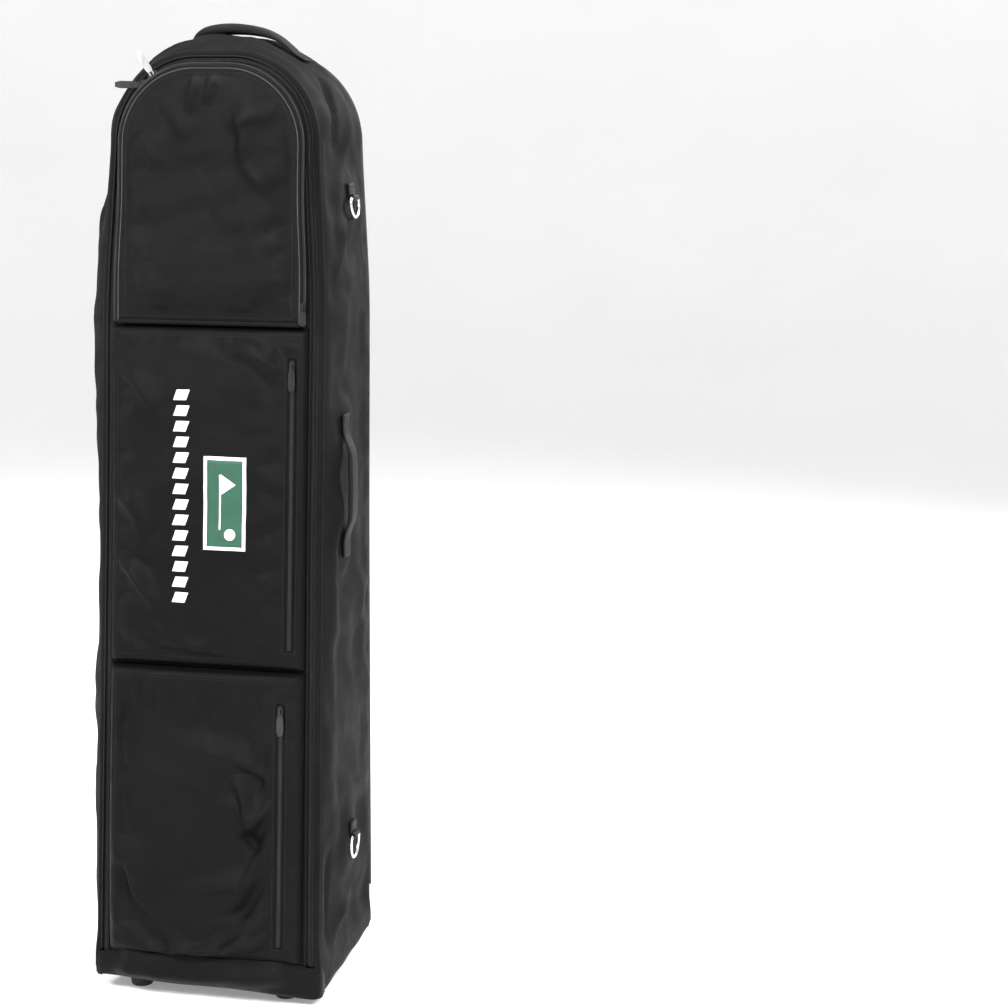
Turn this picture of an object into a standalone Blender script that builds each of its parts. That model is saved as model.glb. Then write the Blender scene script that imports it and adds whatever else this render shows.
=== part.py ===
"""Wheeled soft travel case for a golf bag, standing upright.

Metres, +Z up. The zipped front lid faces -Y, the back with its skid rails faces +Y, and the carrying
side with the grab handle and the strap rings faces +X. The origin is on the floor under the middle.
"""

import math

import bmesh
import bpy
from mathutils import Matrix, Vector

for old in list(bpy.data.objects):
    bpy.data.objects.remove(old, do_unlink=True)

GAP = 0.0003  # left between pieces that touch

# Outline shared by the front and the back: (height, half width), then round shoulders and a flat crown
SIDE_WIDTHS = ((0.034, 0.148), (0.30, 0.146), (0.60, 0.144), (0.885, 0.144), (1.074, 0.134))
SHOULDER_Z = 1.074
SHOULDER_X = 0.023
SHOULDER_R = 0.111
SHOULDER_STEPS = 10

# Depths
BACK_Y = 0.134  # outer face of the back panels
PANEL = 0.0025  # thickness of a cloth panel with its backing
LEAN = math.radians(3.0)  # the front leans back towards the crown
HINGE_Y = -0.106
HINGE_Z = 0.0445

# Side gusset
CLOTH = 0.003
FLANGE = 0.0085  # turned in round the front for the main zip
BULGES = ((0.043, 0.0), (0.10, 0.006), (0.20, 0.011), (0.35, 0.0145), (0.95, 0.0145), (1.074, 0.011))
CROWN_BULGE = 0.006

# Main zip, measured inwards from the outline
MAIN_ZIP_IN = 0.0125
LID_EDGE_IN = 0.0165

# Pockets on the lid
LOWER_Z = (0.0555, 0.4235)
MIDDLE_Z = (0.4265, 0.8485)
POCKET_X = 0.1265
LOWER_RISE = 0.018
LOWER_BULGE = 0.022
MIDDLE_RISE = 0.014
LOWER_ZIP_X = 0.100
MIDDLE_ZIP_X = 0.108
POCKET_WALL = 0.0022
ARCH_Z = 0.8515
ARCH_X = 0.1165
ARCH_SHOULDER_Z = 1.070
ARCH_SHOULDER_X = 0.021
ARCH_R = 0.0955
ARCH_RISE = 0.012

# Base
TRAY_X = 0.148
TRAY_Z = (0.021, 0.034, 0.0427)  # underside at the front and at the rear, then the rim
TRAY_WALL = 0.003
REAR_WALL_TOP = 0.087
WHEEL_X = 0.0925
WHEEL_Y = 0.119
WHEEL_R = 0.024
AXLE_R = 0.003
FOOT_X = 0.097
FOOT_Y = -0.076

# Back hardware
RAIL_X = 0.095
RAIL_Z = (0.144, 0.503)
RIVET_HEIGHTS = (0.172, 0.334, 0.490)
RIVET_SINK = 0.0018  # the heads sit in shallow counterbores, clear of what the rails slide on
WIRE_R = 0.00225

# Colours: linear red, green, blue, then roughness and metallic
COLOURS = {
    "oxford_cloth": ((0.016, 0.016, 0.018), 0.85, 0.0),
    "coated_cloth": ((0.013, 0.013, 0.015), 0.55, 0.0),
    "back_cloth": ((0.042, 0.038, 0.041), 0.8, 0.0),
    "base_plastic": ((0.022, 0.021, 0.023), 0.5, 0.0),
    "skid_plastic": ((0.030, 0.028, 0.030), 0.4, 0.0),
    "cap_grey": ((0.30, 0.30, 0.31), 0.4, 0.0),
    "webbing": ((0.010, 0.010, 0.011), 0.8, 0.0),
    "zip_tape": ((0.008, 0.008, 0.009), 0.8, 0.0),
    "nickel": ((0.66, 0.65, 0.63), 0.2, 1.0),
    "gunmetal": ((0.05, 0.05, 0.055), 0.35, 1.0),
    "urethane": ((0.55, 0.55, 0.56), 0.4, 0.0),
    "white_nylon": ((0.6, 0.6, 0.6), 0.4, 0.0),
    "clear_vinyl": ((0.75, 0.73, 0.74), 0.15, 0.0),
    "card": ((0.75, 0.74, 0.75), 0.7, 0.0),
    "board": ((0.03, 0.03, 0.03), 0.8, 0.0),
    "foot_rubber": ((0.012, 0.012, 0.012), 0.7, 0.0),
}


def material(key):
    made = bpy.data.materials.get(key)
    if made:
        return made
    colour, roughness, metallic = COLOURS[key]
    made = bpy.data.materials.new(key)
    made.use_nodes = True
    shader = made.node_tree.nodes["Principled BSDF"]
    shader.inputs["Base Color"].default_value = (*colour, 1.0)
    shader.inputs["Roughness"].default_value = roughness
    shader.inputs["Metallic"].default_value = metallic
    made.diffuse_color = (*colour, 1.0)
    return made


def empty(name, location, rotation=(0.0, 0.0, 0.0)):
    made = bpy.data.objects.new(name, None)
    made.location = location
    made.rotation_euler = rotation
    bpy.context.scene.collection.objects.link(made)
    return made


def finish(name, bm, key, parent=None, origin=(0.0, 0.0, 0.0), smooth=False, cutter=False):
    """Turns the bmesh into an object whose origin is moved to the given point of its own frame."""
    bmesh.ops.recalc_face_normals(bm, faces=bm.faces)
    for face in bm.faces:
        face.smooth = smooth
    mesh = bpy.data.meshes.new(name)
    bm.to_mesh(mesh)
    bm.free()
    mesh.transform(Matrix.Translation(-Vector(origin)))
    made = bpy.data.objects.new(name, mesh)
    made.location = origin
    made.parent = parent
    bpy.context.scene.collection.objects.link(made)
    if cutter:
        made.hide_render = True
        made.display_type = "WIRE"
    else:
        mesh.materials.append(material(key))
    return made


def loft(rings, around=False):
    """A closed skin through rings of equally many points: capped ends, or joined last to first."""
    bm = bmesh.new()
    made = [[bm.verts.new(point) for point in ring] for ring in rings]
    pairs = list(zip(made, made[1:]))
    if around:
        pairs.append((made[-1], made[0]))
    else:
        bm.faces.new(made[0])
        bm.faces.new(made[-1])
    for first, second in pairs:
        for i in range(len(first)):
            j = (i + 1) % len(first)
            bm.faces.new((first[i], first[j], second[j], second[i]))
    return bm


def box(low, high):
    (x0, y0, z0), (x1, y1, z1) = low, high
    ends = []
    for z in (z0, z1):
        ends.append([(x0, y0, z), (x1, y0, z), (x1, y1, z), (x0, y1, z)])
    return loft(ends)


def slab(outline, y0, y1):
    """A flat panel in the XZ plane from a list of (x, z)."""
    return loft([[(x, y, z) for x, z in outline] for y in (y0, y1)])


def slab_ring(outer, inner, y0, y1):
    """A flat frame between two outlines with equally many points."""
    rings = []
    for (xo, zo), (xi, zi) in zip(outer, inner):
        rings.append([(xo, y0, zo), (xo, y1, zo), (xi, y1, zi), (xi, y0, zi)])
    return loft(rings, around=True)


def turned(profile, centre, axis, steps=16):
    """A solid of revolution, capped at both ends, from (radius, distance along the axis)."""
    place = Matrix.Translation(centre) @ Vector((0, 0, 1)).rotation_difference(Vector(axis)).to_matrix().to_4x4()
    rings = []
    for radius, along in profile:
        ring = []
        for i in range(steps):
            turn = 2 * math.pi * i / steps
            ring.append(place @ Vector((radius * math.cos(turn), radius * math.sin(turn), along)))
        rings.append(ring)
    return loft(rings)


def turned_ring(profile, centre, axis, steps=24):
    """A ring of revolution from a closed profile of (radius, distance along the axis)."""
    place = Matrix.Translation(centre) @ Vector((0, 0, 1)).rotation_difference(Vector(axis)).to_matrix().to_4x4()
    rings = []
    for i in range(steps):
        turn = 2 * math.pi * i / steps
        out = Vector((math.cos(turn), math.sin(turn), 0.0))
        rings.append([place @ (out * radius + Vector((0, 0, along))) for radius, along in profile])
    return loft(rings, around=True)


def boolean(target, tool, operation="DIFFERENCE"):
    modifier = target.modifiers.new(tool.name, "BOOLEAN")
    modifier.operation = operation
    modifier.solver = "EXACT"
    modifier.object = tool


def cut(target, bm, name):
    boolean(target, finish(name, bm, None, parent=target.parent, cutter=True))


def join(target, bm, name):
    boolean(target, finish(name, bm, None, parent=target.parent, cutter=True), "UNION")


def table(rows, value):
    """Straight-line reading of a table of (value, result)."""
    if value <= rows[0][0]:
        return rows[0][1]
    for (a, first), (b, second) in zip(rows, rows[1:]):
        if value <= b:
            return first + (second - first) * (value - a) / (b - a)
    return rows[-1][1]


def stations(lowest):
    """Points of the outline from low right over the crown to low left: (x, z, normal x, normal z, bulge)."""
    right = [(table(SIDE_WIDTHS, z), z, 1.0, 0.0, table(BULGES, z))
             for z in (lowest, 0.10, 0.20, 0.35, 0.55, 0.75, 0.885, 0.98)]
    for i in range(SHOULDER_STEPS + 1):
        turn = 0.5 * math.pi * i / SHOULDER_STEPS
        nx, nz = math.cos(turn), math.sin(turn)
        bulge = BULGES[-1][1] + (CROWN_BULGE - BULGES[-1][1]) * i / SHOULDER_STEPS
        right.append((SHOULDER_X + SHOULDER_R * nx, SHOULDER_Z + SHOULDER_R * nz, nx, nz, bulge))
    left = [(-x, z, -nx, nz, bulge) for x, z, nx, nz, bulge in reversed(right)]
    return right + left


def outline(inset, lowest):
    return [(x - inset * nx, z - inset * nz) for x, z, nx, nz, _ in stations(lowest)]


def front_point(x, depth, z):
    """World place of a point of the leaning front: depth is measured inwards from its face."""
    up = z - HINGE_Z
    return Vector((
        x,
        HINGE_Y + up * math.sin(LEAN) + depth * math.cos(LEAN),
        HINGE_Z + up * math.cos(LEAN) - depth * math.sin(LEAN),
    ))


def rectangle(x0, z0, x1, z1):
    return [(x0, z0), (x1, z0), (x1, z1), (x0, z1)]


# ---------------------------------------------------------------- frames of the leaning front
front_frame = empty("front_frame", (0.0, HINGE_Y, HINGE_Z), (-LEAN, 0.0, 0.0))
lid_hinge = empty("lid_hinge", (0.0, HINGE_Y, HINGE_Z), (-LEAN, 0.0, 0.0))


def on_front(points):
    """Outline heights turned into heights above the hinge line."""
    return [(x, z - HINGE_Z) for x, z in points]


# ---------------------------------------------------------------- side gusset
def gusset_ring(station):
    x, z, nx, nz, bulge = station
    out = Vector((nx, 0.0, nz))
    back = Vector((x, 0.128, z))
    front = front_point(x, 0.006, z)

    def wall(t, offset):
        swell = bulge * (4.0 * t * (1.0 - t)) ** 0.75
        return back.lerp(front, t) + out * (swell - offset)

    def lip(inset, depth):
        return front_point(x - inset * nx, depth, z - inset * nz)

    steps = (0.0, 0.1, 0.22, 0.36, 0.5, 0.64, 0.78, 0.9, 1.0)
    outer = [wall(t, 0.0) for t in steps] + [lip(0.0018, 0.0018), lip(0.006, 0.0), lip(FLANGE, 0.0)]
    inner = [lip(FLANGE, PANEL), lip(0.0052, PANEL)] + [wall(t, CLOTH) for t in reversed(steps)]
    return outer + inner


gusset = finish("side_gusset", loft([gusset_ring(s) for s in stations(0.0438)]), "oxford_cloth", smooth=True)

# ---------------------------------------------------------------- back
back_board = finish("back_board", slab(outline(0.0, 0.0785), 0.1283, 0.1307), "board")

PANEL_SEAM_Z = 0.5475
lower_half = [(table(SIDE_WIDTHS, z), z) for z in (REAR_WALL_TOP + GAP, 0.30, PANEL_SEAM_Z)]
lower_outline = lower_half + [(-x, z) for x, z in reversed(lower_half)]
finish("back_lower_panel", slab(lower_outline, BACK_Y - PANEL, BACK_Y), "skid_plastic")

upper_outline = [(x, z) for x, z in outline(0.0, PANEL_SEAM_Z + GAP) if z >= 0.6]
upper_outline = ([(table(SIDE_WIDTHS, PANEL_SEAM_Z), PANEL_SEAM_Z + GAP)] + upper_outline
                 + [(-table(SIDE_WIDTHS, PANEL_SEAM_Z), PANEL_SEAM_Z + GAP)])
finish("back_upper_panel", slab(upper_outline, BACK_Y - PANEL, BACK_Y), "back_cloth")


def dish(xs, zs, rise, wall, face):
    """A cloth pocket front with turned-down rims: rise(x, z) is its height over the panel, face its side."""
    bm = bmesh.new()

    def grid(inset, drop):
        rows = []
        for z in zs:
            row = []
            for x in xs:
                px = min(max(x, xs[0] + inset), xs[-1] - inset)
                pz = min(max(z, zs[0] + inset), zs[-1] - inset)
                row.append(bm.verts.new((px, face * (rise(x, z) - drop), pz)))
            rows.append(row)
        for a, b in zip(rows, rows[1:]):
            for i in range(len(xs) - 1):
                bm.faces.new((a[i], a[i + 1], b[i + 1], b[i]))
        rim = rows[0] + [row[-1] for row in rows[1:-1]] + rows[-1][::-1] + [row[0] for row in rows[-2:0:-1]]
        foot = [bm.verts.new((v.co.x, face * GAP, v.co.z)) for v in rim]
        for i in range(len(rim)):
            j = (i + 1) % len(rim)
            bm.faces.new((rim[i], rim[j], foot[j], foot[i]))
        return foot

    outside = grid(0.0, 0.0)
    inside = grid(wall, wall)
    for i in range(len(outside)):
        j = (i + 1) % len(outside)
        bm.faces.new((outside[i], outside[j], inside[j], inside[i]))
    return bm


def moved(bm, offset):
    bmesh.ops.translate(bm, verts=bm.verts, vec=offset)
    return bm


# Slip pocket on the back, open along its top
SLIP_X = 0.136
SLIP_Z = (0.5525, 0.832)
SLIP_RISE = 0.0085
slip = moved(dish((-SLIP_X, -0.09, 0.0, 0.09, SLIP_X), (SLIP_Z[0], 0.64, 0.74, SLIP_Z[1]),
                  lambda x, z: SLIP_RISE, 0.002, 1.0), (0.0, BACK_Y, 0.0))
slip_pocket = finish("back_slip_pocket", slip, "back_cloth")
cut(slip_pocket, box((-SLIP_X + 0.002, BACK_Y - 0.002, 0.82), (SLIP_X - 0.002, BACK_Y + SLIP_RISE - 0.002, 0.84)),
    "slip_mouth_cutter")

# Identity holder: frame with its band, clear window and card
ID_Y = BACK_Y + GAP
WINDOW = (-0.039, 1.050, 0.054, 1.106)
finish("id_holder", slab_ring(rectangle(-0.070, 1.042, 0.062, 1.116), rectangle(*WINDOW), ID_Y, ID_Y + 0.0016),
       "webbing")
inner_window = rectangle(WINDOW[0] + GAP, WINDOW[1] + GAP, WINDOW[2] - GAP, WINDOW[3] - GAP)
finish("id_card", slab(inner_window, ID_Y, ID_Y + 0.0006), "card")
finish("id_window", slab(inner_window, ID_Y + 0.0009, ID_Y + 0.0014), "clear_vinyl")


# ---------------------------------------------------------------- D-rings and their webbing loops
def d_ring(name, half_width, height, place, key="nickel"):
    """A bent wire D: its straight bar lies on the hinge axis and the bow hangs along -Z of its frame."""
    corner = 0.005
    points = []
    for i in range(5):
        points.append(Vector((-half_width + corner + (half_width - corner) * 0.5 * i, 0.0, 0.0)))
    arc = 11
    for i in range(arc + 1):
        turn = math.pi * i / arc
        drop = math.sin(turn) ** 0.8 * (height - corner * 0.6) + corner * 0.6
        points.append(Vector((half_width * math.cos(turn), 0.0, -drop)))
    rings = []
    count = len(points)
    for i, point in enumerate(points):
        along = (points[(i + 1) % count] - points[i - 1]).normalized()
        side = Vector((0.0, 1.0, 0.0))
        up = along.cross(side)
        ring = []
        for k in range(8):
            turn = 2 * math.pi * k / 8
            ring.append(place @ (point + (side * math.cos(turn) + up * math.sin(turn)) * WIRE_R))
        rings.append(ring)
    return finish(name, loft(rings, around=True), key, origin=place.translation, smooth=True)


def ring_loop(name, half_width, place):
    """Webbing folded round the bar, its doubled tail sewn flat above: -Y of its frame faces the case."""
    hole, thick = WIRE_R + 0.0004, 0.0014
    outer = []
    inner = []
    for i in range(12):
        turn = math.radians(-90 + 30 * i)
        y, z = math.cos(turn), math.sin(turn)
        inner.append((y * hole, z * hole))
        outer.append((y * (hole + thick), z * (hole + thick)))
    back = -(hole + thick)
    outer[5] = (back + 0.0034, 0.0055)
    outer[6] = (back + 0.0034, 0.0185)
    outer[7] = (back, 0.0185)
    outer[8] = (back, 0.0055)
    outer[9] = (back, 0.0)
    rings = []
    for (yo, zo), (yi, zi) in zip(outer, inner):
        ring = [(-half_width, yo, zo), (half_width, yo, zo), (half_width, yi, zi), (-half_width, yi, zi)]
        rings.append([place @ Vector(point) for point in ring])
    return finish(name, loft(rings, around=True), "webbing")


BAR_OUT = WIRE_R + 0.0004 + 0.0014  # from the cloth to the bar's centre
back_ring_place = Matrix.Translation((-0.0045, ID_Y + BAR_OUT, 1.1235))
d_ring("back_d_ring", 0.026, 0.0335, back_ring_place)
ring_loop("back_ring_loop", 0.019, back_ring_place)


def side_surface(y, z):
    """x of the gusset's outer face on the +X side."""
    front_y = front_point(0.0, 0.006, z).y
    t = (0.128 - y) / (0.128 - front_y)
    return table(SIDE_WIDTHS, z) + table(BULGES, z) * (4.0 * t * (1.0 - t)) ** 0.75


def side_ring(which, y, z, height):
    """A strap ring on the +X side, following the slope of the gusset below its loop."""
    drop = 0.030
    top = Vector((side_surface(y, z) + GAP + BAR_OUT, y, z))
    low = Vector((max(side_surface(y, z - drop) + GAP + BAR_OUT, top.x - 0.001), y, z - drop))
    tilt = math.atan2(low.x - top.x, drop)
    base = Matrix.Rotation(math.radians(-90), 4, "Z")
    loop_tilt = math.atan2(side_surface(y, z - 0.001) - side_surface(y, z + 0.018), 0.019)
    ring_place = Matrix.Translation(top) @ Matrix.Rotation(-tilt, 4, "Y") @ base
    loop_place = Matrix.Translation(top) @ Matrix.Rotation(-loop_tilt, 4, "Y") @ base
    d_ring(which + "_side_ring", 0.0175, height, ring_place)
    ring_loop(which + "_side_loop", 0.0115, loop_place)


side_ring("upper", 0.030, 1.006, 0.024)
side_ring("lower", 0.012, 0.192, 0.030)


# ---------------------------------------------------------------- handles
def strap(name, points, thickness, width, across, key="webbing"):
    """Webbing along points: thickness and width at each, across is the unit vector of its width."""
    rings = []
    for i, point in enumerate(points):
        ahead = Vector(points[min(i + 1, len(points) - 1)])
        behind = Vector(points[max(i - 1, 0)])
        along = (ahead - behind).normalized()
        up = along.cross(across).normalized()
        h, w = thickness[i] * 0.5, width[i] * 0.5
        ring = []
        for a, b in ((-1, -0.55), (-0.6, -1), (0.6, -1), (1, -0.55), (1, 0.55), (0.6, 1), (-0.6, 1), (-1, 0.55)):
            ring.append(Vector(point) + across * (a * w) + up * (b * h))
        rings.append(ring)
    return finish(name, loft(rings), key, smooth=True)


HANDLE_Y = 0.044
crown_top = SHOULDER_Z + SHOULDER_R + CROWN_BULGE


def shoulder_top(x):
    """Height of the gusset over the shoulder at this x, at mid depth."""
    dx = max(abs(x) - SHOULDER_X, 0.0)
    turn = math.asin(min(dx / (SHOULDER_R + CROWN_BULGE), 1.0))
    bulge = CROWN_BULGE + (BULGES[-1][1] - CROWN_BULGE) * turn / (0.5 * math.pi)
    return SHOULDER_Z + math.sqrt((SHOULDER_R + bulge) ** 2 - dx ** 2)


handle_line = (
    (0.092, shoulder_top(0.092) + 0.0030), (0.078, shoulder_top(0.078) + 0.0032), (0.066, 1.1930),
    (0.050, 1.2045), (0.030, 1.2110), (0.008, 1.2138), (-0.014, 1.2140), (-0.034, 1.2118), (-0.047, 1.2062),
    (-0.0535, 1.1985), (-0.0580, 1.1925), (-0.070, shoulder_top(-0.070) + 0.0042),
    (-0.084, shoulder_top(-0.084) + 0.0040),
)
handle_thick = (0.003, 0.003, 0.0045, 0.007, 0.009, 0.010, 0.010, 0.009, 0.007, 0.0045, 0.003, 0.003, 0.003)
handle_wide = (0.034, 0.034, 0.034, 0.034, 0.036, 0.038, 0.038, 0.036, 0.034, 0.034, 0.034, 0.034, 0.034)
strap("top_handle", [(x, HANDLE_Y, z) for x, z in handle_line], handle_thick, handle_wide, Vector((0, 1, 0)))

SIDE_HANDLE_Y = -0.016
side_line = []
side_thick = []
side_wide = []
for z, off, thick, wide in (
    (0.560, 0.0022, 0.003, 0.025), (0.580, 0.0022, 0.003, 0.025), (0.594, 0.0056, 0.0034, 0.025),
    (0.610, 0.0102, 0.006, 0.026), (0.632, 0.0109, 0.0066, 0.027), (0.650, 0.0112, 0.0066, 0.027),
    (0.668, 0.0109, 0.0066, 0.027), (0.690, 0.0102, 0.006, 0.026), (0.706, 0.0056, 0.0034, 0.025),
    (0.720, 0.0022, 0.003, 0.025), (0.740, 0.0022, 0.003, 0.025),
):
    side_line.append((side_surface(SIDE_HANDLE_Y, z) + off, SIDE_HANDLE_Y, z))
    side_thick.append(thick)
    side_wide.append(wide)
strap("side_handle", side_line, side_thick, side_wide, Vector((0, 1, 0)))

# ---------------------------------------------------------------- base tray
TRAY_FRONT_Y = HINGE_Y + 0.0005


def underside(y):
    """Height of the tray's sloping underside."""
    return TRAY_Z[0] + (TRAY_Z[1] - TRAY_Z[0]) * (y - TRAY_FRONT_Y) / (BACK_Y - TRAY_FRONT_Y)


def wedge(half_width, y0, y1, low0, low1, top):
    """A block with a sloping bottom."""
    bottom = [(-half_width, y0, low0), (half_width, y0, low0), (half_width, y1, low1), (-half_width, y1, low1)]
    return loft([bottom, [(x, y, top) for x, y, _ in bottom]])


tray = finish("base_tray", wedge(TRAY_X, TRAY_FRONT_Y, BACK_Y, TRAY_Z[0], TRAY_Z[1], TRAY_Z[2]), "base_plastic")
inside_front, inside_back = TRAY_FRONT_Y + TRAY_WALL, BACK_Y - TRAY_WALL
cut(tray, wedge(TRAY_X - TRAY_WALL, inside_front, inside_back, underside(inside_front) + TRAY_WALL,
                underside(inside_back) + TRAY_WALL, 0.06), "tray_inside_cutter")
join(tray, box((-TRAY_X + 0.0002, BACK_Y - TRAY_WALL, 0.036), (TRAY_X - 0.0002, BACK_Y - 0.0002, REAR_WALL_TOP)),
     "tray_rear_wall")


def arch_profile(half_width, low, top, steps=8):
    """A round-topped outline: straight sides, then a half circle flattened to reach the top height."""
    spring = top - half_width * 0.9
    points = [(half_width, low)]
    for i in range(steps + 1):
        turn = math.pi * i / steps
        points.append((half_width * math.cos(turn), spring + (top - spring) * math.sin(turn)))
    points.append((-half_width, low))
    return points


for side, sign in (("l", -1.0), ("r", 1.0)):
    centre = sign * WHEEL_X
    hump = [(centre + x, z) for x, z in arch_profile(0.021, 0.0338, 0.075)]
    join(tray, slab(hump, 0.088, 0.1395), "wheel_hump_" + side)
for side, sign in (("l", -1.0), ("r", 1.0)):
    centre = sign * WHEEL_X
    cut(tray, box((centre - 0.0132, 0.0905, 0.0), (centre + 0.0132, 0.1350, 0.0520)), "wheel_well_cutter_" + side)
    cut(tray, box((centre - 0.0118, 0.1300, 0.0), (centre + 0.0118, 0.1500, 0.0490)), "wheel_notch_cutter_" + side)
    cut(tray, turned([(0.0021, -0.014), (0.0021, 0.01)], (centre, 0.1395, 0.0640), (0, 1, 0), 10),
        "housing_screw_cutter_" + side)
    cut(tray, turned([(0.0025, 0.0), (0.0025, 0.02)], (sign * FOOT_X, FOOT_Y, 0.016), (0, 0, 1), 12),
        "foot_screw_cutter_" + side)

# ---------------------------------------------------------------- wheels, brackets, feet
for side, sign in (("l", -1.0), ("r", 1.0)):
    hub_centre = Vector((sign * WHEEL_X, WHEEL_Y, WHEEL_R))
    tyre_profile = ((0.0150, -0.0080), (0.0218, -0.0085), (0.0234, -0.0076), (WHEEL_R, -0.0050),
                    (WHEEL_R, 0.0050), (0.0234, 0.0076), (0.0218, 0.0085), (0.0150, 0.0080))
    finish("tyre_" + side, turned_ring(tyre_profile, hub_centre, (1, 0, 0), 28), "urethane", origin=hub_centre,
           smooth=True)
    hub_profile = ((AXLE_R + 0.00008, -0.0092), (0.0065, -0.0092), (0.0065, -0.0070), (0.0147, -0.0064),
                   (0.0147, 0.0064), (0.0065, 0.0070), (0.0065, 0.0092), (AXLE_R + 0.00008, 0.0092))
    finish("hub_" + side, turned_ring(hub_profile, hub_centre, (1, 0, 0), 24), "white_nylon", origin=hub_centre,
           smooth=True)
    axle_profile = ((0.0046, -0.0124), (0.0052, -0.0114), (0.0052, -0.0112), (AXLE_R, -0.0112),
                    (AXLE_R, 0.0112), (0.0052, 0.0112), (0.0052, 0.0114), (0.0046, 0.0124))
    finish("wheel_axle_" + side, turned(axle_profile, hub_centre, (1, 0, 0), 24), "nickel", smooth=True)

    # Pressed bracket: two cheeks and a curved guard over the top and the rear of the wheel
    guard_in, guard_out = WHEEL_R + 0.0013, WHEEL_R + 0.0023
    guard = []
    for radius, turns in ((guard_out, range(-6, 103, 12)), (guard_in, range(102, -7, -12))):
        for degrees in turns:
            turn = math.radians(degrees)
            guard.append((WHEEL_Y + radius * math.cos(turn), WHEEL_R + radius * math.sin(turn)))
    cheek = [(WHEEL_Y + guard_out * math.cos(math.radians(d)), WHEEL_R + guard_out * math.sin(math.radians(d)))
             for d in range(-6, 103, 12)]
    for degrees in range(150, 331, 30):
        turn = math.radians(degrees)
        cheek.append((WHEEL_Y + 0.0075 * math.cos(turn), WHEEL_R + 0.0075 * math.sin(turn)))

    def across(points, x0, x1):
        return loft([[(hub_centre.x + x, y, z) for y, z in points] for x in (x0, x1)])

    bracket = finish("wheel_bracket_" + side, across(guard, -0.0102, 0.0102), "nickel")
    join(bracket, across(cheek, -0.0109, -0.0099), "cheek_a_" + side)
    join(bracket, across(cheek, 0.0099, 0.0109), "cheek_b_" + side)
    cut(bracket, turned([(AXLE_R + GAP, -0.015), (AXLE_R + GAP, 0.015)], hub_centre, (1, 0, 0), 16),
        "bracket_hole_cutter_" + side)

    finish("housing_screw_" + side, turned(((0.0018, -0.012), (0.0018, GAP), (0.0042, GAP), (0.0042, 0.0012),
                                            (0.0026, 0.0022)), (hub_centre.x, 0.1395, 0.0640), (0, 1, 0), 12),
           "nickel", smooth=False)

    foot_base = Vector((sign * FOOT_X, FOOT_Y, 0.0))
    foot_profile = ((0.0025, 0.008), (0.0062, 0.008), (0.0062, 0.0), (0.0125, 0.0), (0.0136, 0.0012),
                    (0.0165, 0.0190), (0.0165, 0.0260), (0.0025, 0.0260))
    foot = finish("foot_" + side, turned_ring(foot_profile, foot_base, (0, 0, 1), 20), "foot_rubber", smooth=True)
    foot_front, foot_rear = FOOT_Y - 0.02, FOOT_Y + 0.02
    cut(foot, wedge(TRAY_X, foot_front, foot_rear, underside(foot_front) - GAP, underside(foot_rear) - GAP, 0.04),
        "foot_top_cutter_" + side)
    finish("foot_screw_" + side, turned(((0.0034, 0.0050), (0.0052, 0.0058), (0.0052, 0.0077), (0.0021, 0.0077),
                                         (0.0021, 0.0245)), foot_base, (0, 0, 1), 12), "nickel")

# ---------------------------------------------------------------- skid rails
RAIL_HALF = ((-0.0145, 0.0), (-0.0145, 0.0018), (-0.0100, 0.0030), (-0.0082, 0.0108), (-0.0066, 0.0117))
rail_profile = list(RAIL_HALF) + [(-x, y) for x, y in reversed(RAIL_HALF)]
for side, sign in (("l", -1.0), ("r", 1.0)):
    rings = []
    for z, height in ((RAIL_Z[0], 0.22), (RAIL_Z[0] + 0.006, 0.45), (RAIL_Z[0] + 0.018, 1.0), (RAIL_Z[1], 1.0)):
        rings.append([(sign * RAIL_X + x, BACK_Y + GAP + y * height, z) for x, y in rail_profile])
    rail = finish("skid_rail_" + side, loft(rings), "skid_plastic")
    rail_top = BACK_Y + GAP + 0.0117
    for number, z in enumerate(RIVET_HEIGHTS, 1):
        centre = (sign * RAIL_X, rail_top, z)
        cut(rail, turned(((0.0023, -0.0110), (0.0023, 0.01)), centre, (0, 1, 0), 10),
            "rivet_cutter_%s%d" % (side, number))
        cut(rail, turned(((0.0054, -RIVET_SINK), (0.0054, 0.01)), centre, (0, 1, 0), 16),
            "rivet_seat_cutter_%s%d" % (side, number))
        rivet = ((0.0020, -0.0090), (0.0020, GAP), (0.0048, GAP), (0.0042, 0.0008), (0.0022, 0.0013))
        finish("rail_rivet_%s%d" % (side, number),
               turned([(radius, along - RIVET_SINK) for radius, along in rivet], centre, (0, 1, 0), 12),
               "nickel", smooth=False)
    rings = []
    for z, half, height in ((RAIL_Z[1] + GAP, 0.0088, 0.0117), (0.512, 0.0102, 0.0117), (0.530, 0.0135, 0.0035)):
        x = sign * RAIL_X
        y0 = BACK_Y + GAP
        rings.append([(x - half, y0, z), (x + half, y0, z), (x + half - 0.0012, y0 + height, z),
                      (x - half + 0.0012, y0 + height, z)])
    finish("rail_cap_" + side, loft(rings), "cap_grey")


# ---------------------------------------------------------------- zips
def tape(name, inset0, inset1, lowest, parent):
    """Zip tape along the outline, just under the cloth."""
    rings = []
    for x, z, nx, nz, _ in stations(lowest):
        near = (x - inset0 * nx, z - inset0 * nz - HINGE_Z)
        far = (x - inset1 * nx, z - inset1 * nz - HINGE_Z)
        y0, y1 = PANEL + GAP, PANEL + GAP + 0.0012
        rings.append([(near[0], y0, near[1]), (near[0], y1, near[1]), (far[0], y1, far[1]), (far[0], y0, far[1])])
    return finish(name, loft(rings), "zip_tape", parent=parent)


tape("main_zip_case_tape", 0.0060, MAIN_ZIP_IN - 0.0003, 0.052, front_frame)
tape("main_zip_lid_tape", MAIN_ZIP_IN + 0.0003, 0.0205, 0.052, lid_hinge)


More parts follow.
